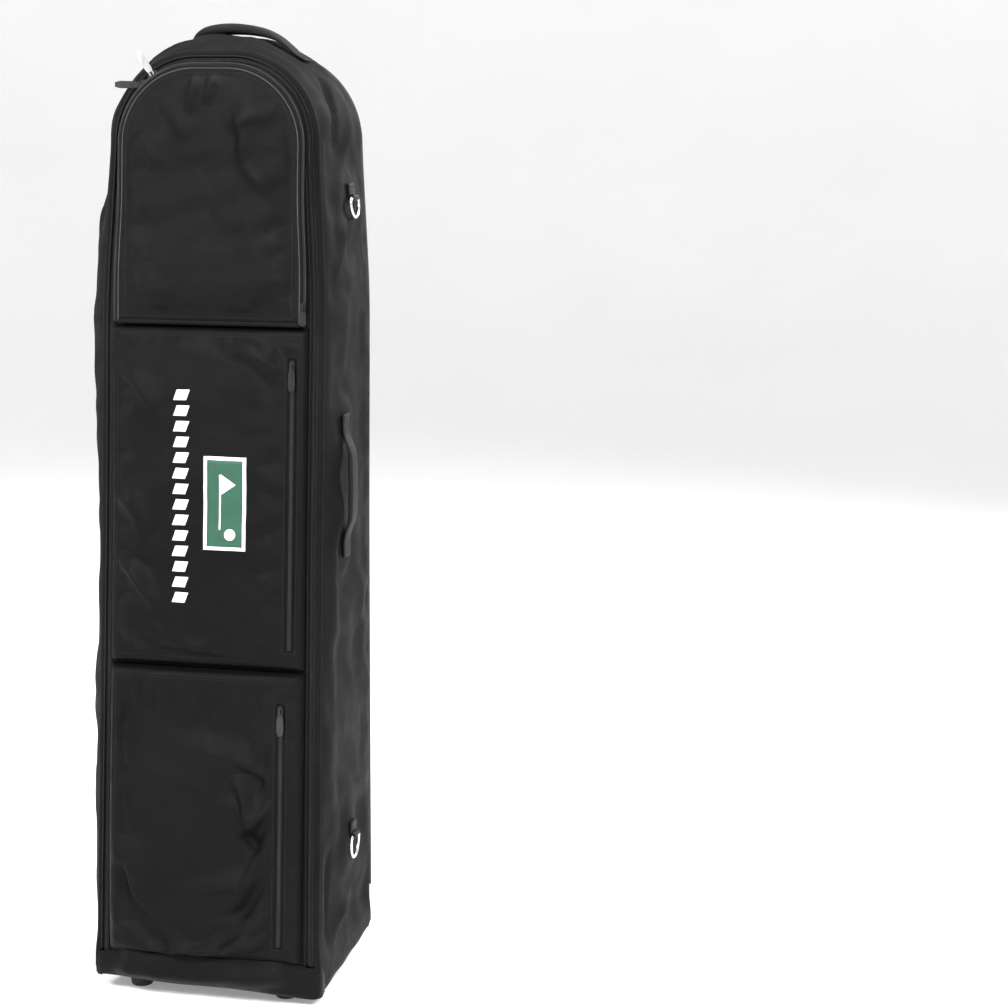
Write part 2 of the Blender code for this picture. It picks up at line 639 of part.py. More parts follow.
def slider(name, centre, travel, lay, thick, parent):
    """Zip slider: a base along travel and a bridge along lay, both directions in the cloth's plane (x, z).

    centre is the middle of the pull's bar; thick is how far the base reaches in below it."""
    along = Vector((travel[0], 0.0, travel[1])).normalized()
    over = Vector((lay[0], 0.0, lay[1])).normalized()
    centre = Vector(centre)
    out = Vector((0.0, -1.0, 0.0))

    def block(direction, half_long, half_wide, low, high):
        side = direction.cross(out)
        rings = []
        for height in (low, high):
            ring = []
            for a, b in ((-1, -0.6), (-0.7, -1), (0.7, -1), (1, -0.6), (1, 0.6), (0.7, 1), (-0.7, 1), (-1, 0.6)):
                ring.append(centre + direction * (a * half_long) + side * (b * half_wide) + out * height)
            rings.append(ring)
        return loft(rings)

    body = finish(name, block(along, 0.0065, 0.0035, -0.0008 - thick, -0.0008), "gunmetal", parent=parent)
    side = over.cross(out)

    def bar(half_long, half_wide, low, high):
        corners = []
        for height in (low, high):
            corners.append([centre + over * (a * half_long) + side * (b * half_wide) + out * height
                            for a, b in ((-1, -1), (1, -1), (1, 1), (-1, 1))])
        return loft(corners)

    join(body, bar(0.0032, 0.0011, -0.0018, 0.0019), name + "_bridge")
    cut(body, bar(0.0020, 0.0030, -0.00078, 0.0008), name + "_eye_cutter")
    return body


def pull(name, centre, lay, length, parent, key="gunmetal"):
    """Pull tab pointing along lay from its bar, which passes through the slider's bridge."""
    over = Vector((lay[0], 0.0, lay[1])).normalized()
    out = Vector((0.0, -1.0, 0.0))
    side = over.cross(out)
    centre = Vector(centre)

    def at(a, b, h):
        return centre + over * a + side * b + out * h

    outer = [(-0.0005, -0.0028), (-0.0005, 0.0028), (0.0046, 0.0031), (0.0075, 0.0042), (length * 0.8, 0.0046),
             (length, 0.0028), (length, -0.0028), (length * 0.8, -0.0046), (0.0075, -0.0042), (0.0046, -0.0031)]
    inner = [(0.0005, -0.0016), (0.0005, 0.0016), (0.0030, 0.0016), (0.0041, 0.0016), (0.0041, 0.0009),
             (0.0041, 0.0003), (0.0041, -0.0003), (0.0041, -0.0009), (0.0041, -0.0016), (0.0030, -0.0016)]
    rings = []
    for (a, b), (c, d) in zip(outer, inner):
        rings.append([at(a, b, -0.0004), at(a, b, 0.0005), at(c, d, 0.0005), at(c, d, -0.0004)])
    return finish(name, loft(rings, around=True), key, parent=parent, origin=centre)


def arc_place(degrees, rise):
    """A point of the main zip on the left shoulder, degrees round from the crown."""
    turn = math.radians(degrees)
    radius = SHOULDER_R - MAIN_ZIP_IN
    return (-SHOULDER_X - radius * math.sin(turn), -rise, SHOULDER_Z + radius * math.cos(turn) - HINGE_Z)


MAIN_BAR = 0.0011  # height of the pull's bar over the cloth
for which, degrees, lay in (("a", 46.0, (-1.0, 0.0)), ("b", 35.0, (-math.sin(math.radians(35.0)),
                                                                   math.cos(math.radians(35.0))))):
    spot = arc_place(degrees, MAIN_BAR)
    turn = math.radians(degrees)
    travel = (-math.cos(turn), -math.sin(turn))
    slider("main_slider_" + which, spot, travel, lay, 0.0028, front_frame)
    pull("main_pull_" + which, spot, lay, 0.034, front_frame, "nickel" if which == "b" else "gunmetal")

# ---------------------------------------------------------------- lid
finish("lid_panel", slab(on_front(outline(LID_EDGE_IN, HINGE_Z + 0.0015)), 0.0, PANEL), "oxford_cloth",
       parent=lid_hinge)


def zip_strip(name, x, z0, z1, height, parent):
    """Closed zip under a slot: two tapes joined at their ends, with the slit between the coils."""
    outer = rectangle(x - 0.012, z0 - 0.006 - HINGE_Z, x + 0.012, z1 + 0.006 - HINGE_Z)
    inner = rectangle(x - 0.0022, z0 + 0.002 - HINGE_Z, x + 0.0022, z1 - 0.002 - HINGE_Z)
    return finish(name, slab_ring(outer, inner, -height, -height + 0.0012), "zip_tape", parent=parent)


def lower_rise(x, z):
    across_it = table(((-POCKET_X, 0.0), (-0.112, 0.55), (-0.07, 1.0), (0.0, 1.0), (0.05, 0.75), (0.087, 0.0)), x)
    up_it = table(((LOWER_Z[0], 0.0), (0.075, 0.5), (0.13, 1.0), (0.26, 0.95), (0.36, 0.5), (LOWER_Z[1], 0.0)), z)
    return LOWER_RISE + LOWER_BULGE * across_it * up_it


def middle_rise(x, z):
    across_it = table(((-POCKET_X, 0.0), (-0.08, 1.0), (0.05, 1.0), (0.09, 0.0)), x)
    up_it = table(((MIDDLE_Z[0], 0.0), (0.50, 1.0), (0.76, 1.0), (MIDDLE_Z[1], 0.0)), z)
    return MIDDLE_RISE + 0.003 * across_it * up_it


def lid_pocket(name, xs, zs, rise, zip_x, zip_z, top, key):
    raised = moved(dish(xs, zs, rise, POCKET_WALL, -1.0), (0.0, 0.0, -HINGE_Z))
    pocket = finish(name, raised, key, parent=lid_hinge)
    cut(pocket, box((zip_x - 0.0045, -top - 0.01, zip_z[0] - HINGE_Z), (zip_x + 0.0045, -top + 0.006,
                                                                       zip_z[1] - HINGE_Z)), name + "_slot_cutter")
    return pocket


LOWER_ZIP_Z = (0.076, 0.386)
MIDDLE_ZIP_Z = (0.450, 0.812)
lid_pocket("lower_pocket", (-POCKET_X, -0.112, -0.07, 0.0, 0.05, 0.087, POCKET_X),
           (LOWER_Z[0], 0.075, 0.13, 0.26, 0.36, LOWER_Z[1]), lower_rise, LOWER_ZIP_X, LOWER_ZIP_Z, LOWER_RISE,
           "oxford_cloth")
zip_strip("lower_pocket_zip", LOWER_ZIP_X, LOWER_ZIP_Z[0], LOWER_ZIP_Z[1], LOWER_RISE - POCKET_WALL - GAP, lid_hinge)
lid_pocket("middle_pocket", (-POCKET_X, -0.08, 0.05, 0.09, POCKET_X), (MIDDLE_Z[0], 0.50, 0.76, MIDDLE_Z[1]),
           middle_rise, MIDDLE_ZIP_X, MIDDLE_ZIP_Z, MIDDLE_RISE, "coated_cloth")
zip_strip("middle_pocket_zip", MIDDLE_ZIP_X, MIDDLE_ZIP_Z[0], MIDDLE_ZIP_Z[1], MIDDLE_RISE - POCKET_WALL - GAP,
          lid_hinge)

# Sliders closed at the top of both upright zips, their pulls hanging
for which, x, top_z, rise in (("middle", MIDDLE_ZIP_X, MIDDLE_ZIP_Z[1], MIDDLE_RISE),
                              ("lower", LOWER_ZIP_X, LOWER_ZIP_Z[1], LOWER_RISE)):
    spot = (x, -(rise + 0.0011), top_z - 0.010 - HINGE_Z)
    slider(which + "_slider", spot, (0.0, 1.0), (0.0, -1.0), 0.0025, lid_hinge)
    pull(which + "_pull", spot, (0.0, -1.0), 0.030, lid_hinge)


# Upper pocket: an arched wall round it and the flap that zips onto the wall
def arch_outline(inset, bottom):
    points = [(ARCH_X - inset, bottom), (ARCH_X - inset, 0.96)]
    for i in range(9):
        turn = 0.5 * math.pi * i / 8
        radius = ARCH_R - inset
        points.append((ARCH_SHOULDER_X + radius * math.cos(turn), ARCH_SHOULDER_Z + radius * math.sin(turn)))
    return points + [(-x, z) for x, z in reversed(points)]


wall_outer = on_front(arch_outline(0.0, ARCH_Z))
wall_inner = on_front(arch_outline(0.002, ARCH_Z + 0.002))
finish("upper_pocket_wall", slab_ring(wall_outer, wall_inner, -ARCH_RISE, -GAP), "oxford_cloth", parent=lid_hinge)

FLAP_AXIS_Z = ARCH_Z + 0.0008
flap_axis = (0.0, -(ARCH_RISE + GAP + PANEL), FLAP_AXIS_Z - HINGE_Z)
finish("upper_pocket_flap", slab(on_front(arch_outline(0.0, FLAP_AXIS_Z + 0.001)), -(ARCH_RISE + GAP + PANEL),
                                 -(ARCH_RISE + GAP)), "oxford_cloth", parent=lid_hinge, origin=flap_axis)

# Its slider waits at the lower right end of the arch, beside the wall
UPPER_ZIP_X = ARCH_X + 0.0050
spot = (UPPER_ZIP_X, -0.0165, 0.874 - HINGE_Z)
slider("upper_slider", spot, (0.0, 1.0), (0.0, -1.0), 0.006, lid_hinge)
pull("upper_pull", spot, (0.0, -1.0), 0.022, lid_hinge)
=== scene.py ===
"""Looks of the golf travel case: soft shells, zips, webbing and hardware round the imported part."""

import math

import bmesh
import bpy
import numpy as np
from mathutils import Matrix, Vector


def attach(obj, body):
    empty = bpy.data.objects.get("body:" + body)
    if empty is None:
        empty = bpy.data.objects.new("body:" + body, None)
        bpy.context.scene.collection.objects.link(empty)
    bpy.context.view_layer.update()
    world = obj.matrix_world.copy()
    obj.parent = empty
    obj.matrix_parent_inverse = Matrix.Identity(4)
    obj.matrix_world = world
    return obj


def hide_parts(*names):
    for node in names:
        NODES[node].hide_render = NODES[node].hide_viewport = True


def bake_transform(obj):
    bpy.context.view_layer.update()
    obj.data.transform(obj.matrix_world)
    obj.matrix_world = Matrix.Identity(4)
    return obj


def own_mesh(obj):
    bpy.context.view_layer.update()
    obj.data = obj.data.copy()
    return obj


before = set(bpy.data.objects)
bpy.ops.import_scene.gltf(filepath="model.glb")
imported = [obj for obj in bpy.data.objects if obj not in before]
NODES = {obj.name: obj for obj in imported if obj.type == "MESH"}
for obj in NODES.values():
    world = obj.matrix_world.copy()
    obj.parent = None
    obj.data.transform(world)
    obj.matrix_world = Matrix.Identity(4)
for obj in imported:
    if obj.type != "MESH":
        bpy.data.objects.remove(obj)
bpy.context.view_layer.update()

# ------------------------------------------------------------ sizes of the part, in metres
GAP = 0.0003
SIDE_WIDTHS = ((0.034, 0.148), (0.30, 0.146), (0.60, 0.144), (0.885, 0.144), (1.074, 0.134))
SHOULDER_Z, SHOULDER_X, SHOULDER_R = 1.074, 0.023, 0.111
BULGES = ((0.043, 0.0), (0.10, 0.006), (0.20, 0.011), (0.35, 0.0145), (0.95, 0.0145), (1.074, 0.011))
CROWN_BULGE = 0.006
BACK_Y = 0.134
HINGE_Y, HINGE_Z = -0.106, 0.0445
SIN, COS = math.sin(math.radians(3.0)), math.cos(math.radians(3.0))
ZIP_IN, LID_IN = 0.0125, 0.0165
POCKET_X = 0.1265
LOWER_Z, MIDDLE_Z = (0.0555, 0.4235), (0.4265, 0.8485)
LOWER_RISE, MIDDLE_RISE = 0.018, 0.014
LOWER_ZIP_X, LOWER_ZIP_Z = 0.100, (0.076, 0.386)
MIDDLE_ZIP_X, MIDDLE_ZIP_Z = 0.108, (0.450, 0.812)
ARCH_Z, ARCH_X, ARCH_SZ, ARCH_SX, ARCH_R, ARCH_RISE = 0.8515, 0.1165, 1.070, 0.021, 0.0955, 0.012
PITCH = 0.0021  # of a number 8 zip coil
CLOTH = 0.0014  # coated cloth with its backing
SLOT_HALF = 0.0045  # of a pocket's zip slot
SIM_GAP = 0.0055  # grid of the draped cloth


# ------------------------------------------------------------ materials
def nodes_of(name, colour, rough, metallic=0.0, **sockets):
    made = bpy.data.materials.new(name)
    made.use_nodes = True
    tree = made.node_tree
    shader = tree.nodes["Principled BSDF"]
    shader.inputs["Base Color"].default_value = (*colour, 1.0)
    shader.inputs["Roughness"].default_value = rough
    shader.inputs["Metallic"].default_value = metallic
    for key, value in sockets.items():
        shader.inputs[key.replace("_", " ")].default_value = value
    place = tree.nodes.new("ShaderNodeTexCoord")
    return made, tree, shader, place.outputs["Object"]


def noise(tree, where, scale, detail=3.0, rough=0.55, stretch=None):
    made = tree.nodes.new("ShaderNodeTexNoise")
    made.inputs["Scale"].default_value = scale
    made.inputs["Detail"].default_value = detail
    made.inputs["Roughness"].default_value = rough
    if stretch:
        scaled = tree.nodes.new("ShaderNodeMapping")
        scaled.inputs["Scale"].default_value = stretch
        tree.links.new(where, scaled.inputs["Vector"])
        where = scaled.outputs["Vector"]
    tree.links.new(where, made.inputs["Vector"])
    return made.outputs["Fac"]


def ramp(tree, value, low, high, start=0.3, end=0.7):
    made = tree.nodes.new("ShaderNodeMapRange")
    for key, number in (("From Min", start), ("From Max", end), ("To Min", low), ("To Max", high)):
        made.inputs[key].default_value = number
    tree.links.new(value, made.inputs["Value"])
    return made.outputs["Result"]


def mix_colours(tree, factor, first, second):
    made = tree.nodes.new("ShaderNodeMix")
    made.data_type = "RGBA"
    made.inputs[6].default_value = (*first, 1.0)
    made.inputs[7].default_value = (*second, 1.0)
    tree.links.new(factor, made.inputs[0])
    return made.outputs[2]


def bump(tree, height, strength, distance, under=None):
    made = tree.nodes.new("ShaderNodeBump")
    made.inputs["Strength"].default_value = strength
    made.inputs["Distance"].default_value = distance
    tree.links.new(height, made.inputs["Height"])
    if under:
        tree.links.new(under, made.inputs["Normal"])
    return made.outputs["Normal"]


def weave(tree, where, pitch):
    """Crossed yarns: one band pattern along each axis, added together."""
    total = None
    for axis in "XYZ":
        band = tree.nodes.new("ShaderNodeTexWave")
        band.bands_direction = axis
        band.inputs["Scale"].default_value = 2 * math.pi / (20 * pitch)
        band.inputs["Distortion"].default_value = 0.6
        band.inputs["Detail Scale"].default_value = 2.0
        tree.links.new(where, band.inputs["Vector"])
        if total is None:
            total = band.outputs["Fac"]
            continue
        add = tree.nodes.new("ShaderNodeMath")
        tree.links.new(total, add.inputs[0])
        tree.links.new(band.outputs["Fac"], add.inputs[1])
        total = add.outputs[0]
    return total


def cloth(name, dark, light, rough, pitch=0.0006, crumple=0.5, sheen=0.008, specular=0.12, coat=0.0):
    made, tree, shader, where = nodes_of(
        name, dark, rough, Sheen_Weight=sheen, Sheen_Roughness=0.45, Specular_IOR_Level=specular,
        Coat_Weight=coat, Coat_Roughness=0.35,
    )
    patches = noise(tree, where, 7.0, 4.0, 0.6)
    tree.links.new(mix_colours(tree, ramp(tree, patches, 0.0, 1.0), dark, light), shader.inputs["Base Color"])
    tree.links.new(ramp(tree, noise(tree, where, 38.0), rough - 0.07, rough + 0.08),
                   shader.inputs["Roughness"])
    soft = bump(tree, noise(tree, where, 26.0, 5.0, 0.5), crumple, 0.0022)
    tree.links.new(bump(tree, weave(tree, where, pitch), 0.35, 0.00022, soft), shader.inputs["Normal"])
    return made


def hard(name, dark, light, rough, metallic=0.0, grain=900.0, depth=0.00008, **sockets):
    made, tree, shader, where = nodes_of(name, dark, rough, metallic, **sockets)
    tree.links.new(mix_colours(tree, ramp(tree, noise(tree, where, 30.0, 5.0), 0.0, 1.0), dark, light),
                   shader.inputs["Base Color"])
    scuffs = noise(tree, where, 140.0, 6.0, 0.7, (1.0, 1.0, 0.25))
    tree.links.new(ramp(tree, scuffs, rough - 0.06, rough + 0.12), shader.inputs["Roughness"])
    tree.links.new(bump(tree, noise(tree, where, grain, 2.0), 0.4, depth), shader.inputs["Normal"])
    return made


def grey(value, tint=0.0):
    """A dark neutral, linear, warmed slightly towards purple by the tint."""
    return (value * (1.0 + tint), value, value * (1.0 + 0.6 * tint))


MATS = {
    "oxford": cloth("oxford_front", grey(0.0022), grey(0.0038), 0.46, sheen=0.004, specular=0.085),
    # side cloth: the front's own fabric painted lighter, painted light standing in for light on the sides
    # where the lamps reach least
    "oxford_side_painted_lighter": cloth("oxford_side_painted_lighter", grey(0.0048, 0.02), grey(0.0078, 0.02), 0.60, sheen=0.003,
                         specular=0.04),
    "coated": cloth("coated_front", grey(0.0018), grey(0.0032), 0.38, crumple=0.4, sheen=0.003,
                    specular=0.080),
    "back": cloth("oxford_back", grey(0.013, 0.20), grey(0.021, 0.22), 0.38, specular=0.26),
    "back_pocket": cloth("pocket_back", grey(0.009, 0.15), grey(0.014, 0.16), 0.44, sheen=0.004,
                         specular=0.13),
    "rivet": hard("rivet_head", grey(0.10), grey(0.16), 0.36, 1.0, grain=600.0, depth=0.00002),
    "lining": cloth("lining", grey(0.020), grey(0.028), 0.75),
    "webbing": cloth("webbing", grey(0.006), grey(0.010), 0.60, pitch=0.0016, crumple=0.1),
    "binding": cloth("binding", grey(0.008), grey(0.013), 0.45, pitch=0.0009, crumple=0.1),
    "piping": cloth("piping", grey(0.022), grey(0.034), 0.42, pitch=0.0009, crumple=0.1, specular=0.4),
    "back_piping": cloth("back_piping", grey(0.020, 0.06), grey(0.028, 0.06), 0.40, pitch=0.0009, crumple=0.1,
                         specular=0.45),
    "tape": cloth("zip_tape", grey(0.004), grey(0.007), 0.68, pitch=0.0011, crumple=0.1),
    "coil": hard("zip_coil", grey(0.010), grey(0.016), 0.34, grain=400.0),
    "thread": hard("thread", grey(0.013), grey(0.022), 0.55),
    "back_thread": hard("back_thread", grey(0.050, 0.05), grey(0.070, 0.05), 0.55),
    "base": hard("base_plastic", grey(0.004, 0.04), grey(0.007, 0.04), 0.48, grain=1300.0, depth=0.00012,
                 Specular_IOR_Level=0.22),
    "skid": hard("skid_sheet", grey(0.009, 0.12), grey(0.013, 0.13), 0.50, grain=1500.0, depth=0.00010,
                 Specular_IOR_Level=0.17),
    "rail": hard("rail_plastic", grey(0.005, 0.04), grey(0.008, 0.04), 0.34, grain=900.0,
                 Specular_IOR_Level=0.22),
    "cap": hard("cap_grey", grey(0.24), grey(0.30), 0.42, grain=1200.0),
    "nickel": hard("nickel", (0.62, 0.61, 0.59), (0.74, 0.73, 0.70), 0.22, 1.0, grain=500.0, depth=0.00002),
    "steel": hard("steel", (0.50, 0.50, 0.50), (0.62, 0.62, 0.61), 0.30, 1.0, grain=500.0, depth=0.00003),
    "gunmetal": hard("gunmetal", grey(0.035), grey(0.06), 0.32, 1.0, grain=600.0, depth=0.00002),
    "urethane": hard("urethane", (0.46, 0.46, 0.48), (0.58, 0.58, 0.60), 0.36, grain=500.0,
                     Transmission_Weight=0.35, IOR=1.48, Subsurface_Weight=0.15, Subsurface_Scale=0.004),
    "nylon": hard("nylon", (0.52, 0.52, 0.52), (0.62, 0.62, 0.62), 0.40, Subsurface_Weight=0.1,
                  Subsurface_Scale=0.002),
    "vinyl": hard("clear_vinyl", (0.93, 0.92, 0.93), (0.97, 0.96, 0.97), 0.12, grain=60.0, depth=0.0003,
                  Transmission_Weight=0.92, IOR=1.3),
    "card": hard("card", (0.80, 0.77, 0.79), (0.88, 0.86, 0.88), 0.65),
    "rubber": hard("foot_rubber", grey(0.006), grey(0.010), 0.66, grain=900.0, depth=0.0002),
    "board": hard("board", grey(0.028), grey(0.040), 0.80, grain=300.0, depth=0.0003),
    "white_print": hard("white_print", (0.72, 0.72, 0.72), (0.82, 0.82, 0.82), 0.50, grain=700.0),
    "green_print": hard("green_print", (0.007, 0.055, 0.030), (0.010, 0.075, 0.040), 0.50, grain=700.0),
}


# ------------------------------------------------------------ meshes
def piece(name, verts, faces, mat, body, slot=None, hides=(), blend=None, thickness=0.0):
    """One visible piece: its mesh, closed if it has a thickness, the body it rides on and what it stands for;
    a piece given a blend rides on no body, its blend is not used and it is only baked in place.
    """
    mesh = bpy.data.meshes.new(name)
    mesh.from_pydata([tuple(map(float, v)) for v in verts], [], [tuple(map(int, f)) for f in faces])
    mesh.validate()
    work = bmesh.new()
    work.from_mesh(mesh)
    loose = [v for v in work.verts if not v.link_faces]
    bmesh.ops.delete(work, geom=loose, context="VERTS")
    work.to_mesh(mesh)
    work.free()
    mesh.shade_smooth()
    mesh.materials.append(MATS[mat])
    made = bpy.data.objects.new(name, mesh)
    bpy.context.scene.collection.objects.link(made)
    if thickness:
        solid = made.modifiers.new("thickness", "SOLIDIFY")
        solid.thickness = thickness
        solid.offset = -1.0
        bpy.context.view_layer.update()
        evaluated = made.evaluated_get(bpy.context.evaluated_depsgraph_get())
        made.modifiers.clear()
        solid_mesh = bpy.data.meshes.new_from_object(evaluated)
        made.data = solid_mesh
    if blend:
        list(blend[0])
        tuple(blend[1])
        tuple(blend[2])
        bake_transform(made)
    else:
        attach(made, body)
    if hides:
        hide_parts(*hides)
    return made


def unit(v):
    return v / np.maximum(np.linalg.norm(v, axis=-1, keepdims=True), 1e-12)


def grid_faces(rows, cols, keep=None):
    faces = []
    for i in range(rows - 1):
        for j in range(cols - 1):
            if keep is None or keep[i, j]:
                a = i * cols + j
                faces.append((a, a + 1, a + cols + 1, a + cols))
    return faces


class Surface:
    """A cloth surface: a grid of points over two rising parameters, u along columns and v along rows."""

    def __init__(self, us, vs, points, flip=False):
        self.us, self.vs, self.points = np.asarray(us), np.asarray(vs), points
        du = np.gradient(points, axis=1)
        dv = np.gradient(points, axis=0)
        self.normals = unit(np.cross(du, dv)) * (-1.0 if flip else 1.0)
        self.flip = flip

    def read(self, table, u, v):
        u, v = np.atleast_1d(np.asarray(u, float)), np.atleast_1d(np.asarray(v, float))
        i = np.clip(np.searchsorted(self.vs, v) - 1, 0, len(self.vs) - 2)
        j = np.clip(np.searchsorted(self.us, u) - 1, 0, len(self.us) - 2)
        fv = np.clip((v - self.vs[i]) / (self.vs[i + 1] - self.vs[i]), 0, 1)[:, None]
        fu = np.clip((u - self.us[j]) / (self.us[j + 1] - self.us[j]), 0, 1)[:, None]
        near = table[i, j] * (1 - fu) + table[i, j + 1] * fu
        far = table[i + 1, j] * (1 - fu) + table[i + 1, j + 1] * fu
        return near * (1 - fv) + far * fv

    def at(self, u, v, lift=0.0):
        normal = unit(self.read(self.normals, u, v))
        return self.read(self.points, u, v) + normal * np.asarray(lift).reshape(-1, 1), normal

    def build(self, name, mat, body, keep=None, thickness=CLOTH, **more):
        rows, cols = self.points.shape[:2]
        faces = grid_faces(rows, cols, keep)
        if self.flip:
            faces = [face[::-1] for face in faces]
        return piece(name, self.points.reshape(-1, 3), faces, mat, body, thickness=thickness, **more)


class Batch:
    """Many small shapes gathered into one mesh."""

    def __init__(self):
        self.verts, self.faces, self.count = [], [], 0

    def add(self, verts, faces):
        self.verts.append(np.asarray(verts, float).reshape(-1, 3))
        self.faces += [tuple(k + self.count for k in face) for face in faces]
        self.count += len(self.verts[-1])

    def sweep(self, path, side, up, profile, closed=False):
        """Drags a closed profile of (along side, along up) down the path; ends are capped."""
        count, around = len(path), len(profile)
        profile = np.asarray(profile, float)
        rings = path[:, None] + side[:, None] * profile[None, :, :1] + up[:, None] * profile[None, :, 1:]
        faces = []
        for i in range(count if closed else count - 1):
            k = (i + 1) % count
            for j in range(around):
                m = (j + 1) % around
                faces.append((i * around + j, i * around + m, k * around + m, k * around + j))
        if not closed:
            faces += [tuple(range(around))[::-1], tuple((count - 1) * around + j for j in range(around))]
        self.add(rings, faces)

    def tube(self, path, normals, radius, sides=8):
        along = unit(np.gradient(path, axis=0))
        side = unit(np.cross(along, normals))
        up = np.cross(side, along)
        turns = np.arange(sides) * 2 * math.pi / sides
        self.sweep(path, side, up, np.stack([np.cos(turns), np.sin(turns)], 1) * radius)

    def ribbon(self, path, normals, width, thick):
        along = unit(np.gradient(path, axis=0))
        side = unit(np.cross(along, normals))
        w, t = width / 2, thick
        profile = [(-w, 0), (-w, t * 0.5), (-w * 0.94, t), (w * 0.94, t), (w, t * 0.5), (w, 0)]
        self.sweep(path, side, normals, profile[::-1])

    def stitches(self, path, normals, length=0.0024, gap=0.0012, radius=0.00032):
        path, normals = resample(path, length + gap, normals)
        along = unit(np.gradient(path, axis=0))
        side = np.cross(along, normals)
        for p, a, s, n in zip(path[:-1], along, side, normals):
            mid = p + a * length * 0.5
            verts = [p, mid + s * radius, mid + n * radius * 1.6, mid - s * radius, mid - n * radius,
                     p + a * length]
            self.add(verts, [(0, 1, 2), (0, 2, 3), (0, 3, 4), (0, 4, 1), (5, 2, 1), (5, 3, 2), (5, 4, 3),
                             (5, 1, 4)])

    def teeth(self, path, normals, sign, half=0.5):
        """One side of a closed coil: its loops reach over the middle line, between those of the other."""
        along = unit(np.gradient(path, axis=0))
        side = unit(np.cross(along, normals)) * sign
        reach, back, wide, tall = 0.0005, 0.0027, PITCH * 0.27, 0.0013
        for k, (p, a, s, n) in enumerate(zip(path, along, side, normals)):
            p = p + a * PITCH * half
            low = [p - s * reach - a * wide * 0.8, p + s * back - a * wide, p + s * back + a * wide,
                   p - s * reach + a * wide * 0.8]
            high = [p - s * reach * 0.4 - a * wide * 0.5 + n * tall * 0.75,
                    p + s * back * 0.9 - a * wide * 0.6 + n * tall,
                    p + s * back * 0.9 + a * wide * 0.6 + n * tall,
                    p - s * reach * 0.4 + a * wide * 0.5 + n * tall * 0.75]
            faces = [(3, 2, 1, 0), (4, 5, 6, 7), (0, 1, 5, 4), (1, 2, 6, 5), (2, 3, 7, 6), (3, 0, 4, 7)]
            if sign < 0:
                faces = [face[::-1] for face in faces]
            self.add(low + high, faces)

    def build(self, name, mat, body, **more):
        return piece(name, np.concatenate(self.verts), self.faces, mat, body, **more)


def pipe(name, mat, body, path, normals, radius, sides=8, slot="oxford_cloth"):
    batch = Batch()
    batch.tube(path, normals, radius, sides)
    batch.build(name, mat, body, slot=slot)


def resample(path, step, *others):
    """Even stations along a path, with the directions that go with it."""
    along = np.concatenate([[0], np.cumsum(np.linalg.norm(np.diff(path, axis=0), axis=1))])
    at = np.linspace(0, along[-1], max(2, int(round(along[-1] / step)) + 1))
    found = [np.stack([np.interp(at, along, a[:, k]) for k in range(3)], 1) for a in (path, *others)]
    found[1:] = [unit(a) for a in found[1:]]
    return found


# ------------------------------------------------------------ cloth simulation
FRAMES = 22  # enough for the cloth to settle


def cloth_field(base, free, grow, pressure, cap=0.012, bend=0.3, gravity=0.0, seed=1):
    """How far each point of a sewn-down sheet moves when it is cut too large and pressed outwards."""
    rows, cols = base.shape[:2]
    start = base + np.random.default_rng(seed).normal(0, 0.00025, base.shape) * free[..., None]
    mesh = bpy.data.meshes.new("cloth_try")
    mesh.from_pydata([tuple(p) for p in start.reshape(-1, 3)], [], grid_faces(rows, cols))
    made = bpy.data.objects.new("cloth_try", mesh)
    bpy.context.scene.collection.objects.link(made)
    group = made.vertex_groups.new(name="pin")
    group.add([int(k) for k in np.flatnonzero(~free.ravel())], 1.0, "REPLACE")
    modifier = made.modifiers.new("cloth", "CLOTH")
    settings = modifier.settings
    settings.quality = 6
    settings.mass = 0.25
    settings.tension_stiffness = settings.compression_stiffness = 12
    settings.shear_stiffness = 4
    settings.bending_stiffness = bend
    settings.vertex_group_mass = "pin"
    settings.shrink_min = -grow
    settings.use_pressure = True
    settings.uniform_pressure_force = pressure
    settings.effector_weights.gravity = gravity
    modifier.point_cache.frame_start, modifier.point_cache.frame_end = 1, FRAMES
    for number in range(1, FRAMES + 1):
        bpy.context.scene.frame_set(number)
    final = made.evaluated_get(bpy.context.evaluated_depsgraph_get()).to_mesh()
    found = np.zeros(rows * cols * 3, np.float32)
    final.vertices.foreach_get("co", found)
    bpy.data.objects.remove(made, do_unlink=True)
    bpy.data.meshes.remove(mesh)
    bpy.context.scene.frame_set(1)
    moved = found.reshape(rows, cols, 3).astype(float) - base
    size = np.linalg.norm(moved, axis=-1, keepdims=True)
    return moved * np.where(size > cap, cap / np.maximum(size, 1e-9), 1.0)


def smoothed(table, times=1):
    for _ in range(times):
        padded = np.pad(table, [(1, 1), (1, 1)] + [(0, 0)] * (table.ndim - 2), mode="edge")
        table = (padded[:-2, 1:-1] + padded[2:, 1:-1] + padded[1:-1, :-2] + padded[1:-1, 2:] + 4 * table) / 8
    return table


def step(value, low, high):
    t = np.clip((value - low) / (high - low), 0, 1)
    return t * t * (3 - 2 * t)


def folds(u, v, rows):
    """Sewn-in creases: (u0, v0, u1, v1, height, half width) each a ridge that fades at both ends."""
    total = np.zeros(np.broadcast(u, v).shape)
    for u0, v0, u1, v1, height, half in rows:
        du, dv = u1 - u0, v1 - v0
        length = math.hypot(du, dv)
        along = ((u - u0) * du + (v - v0) * dv) / length ** 2
        off = ((u - u0) * dv - (v - v0) * du) / length
        off = off + 0.25 * half * np.sin(along * 5.0)
        fade = np.clip(1 - (2 * along - 1) ** 2, 0, 1) ** 0.8
        ridge = np.exp(-np.where(off > 0, off / (half * 0.65), off / (half * 1.5)) ** 2)
        total = total + height * ridge * fade
    return total


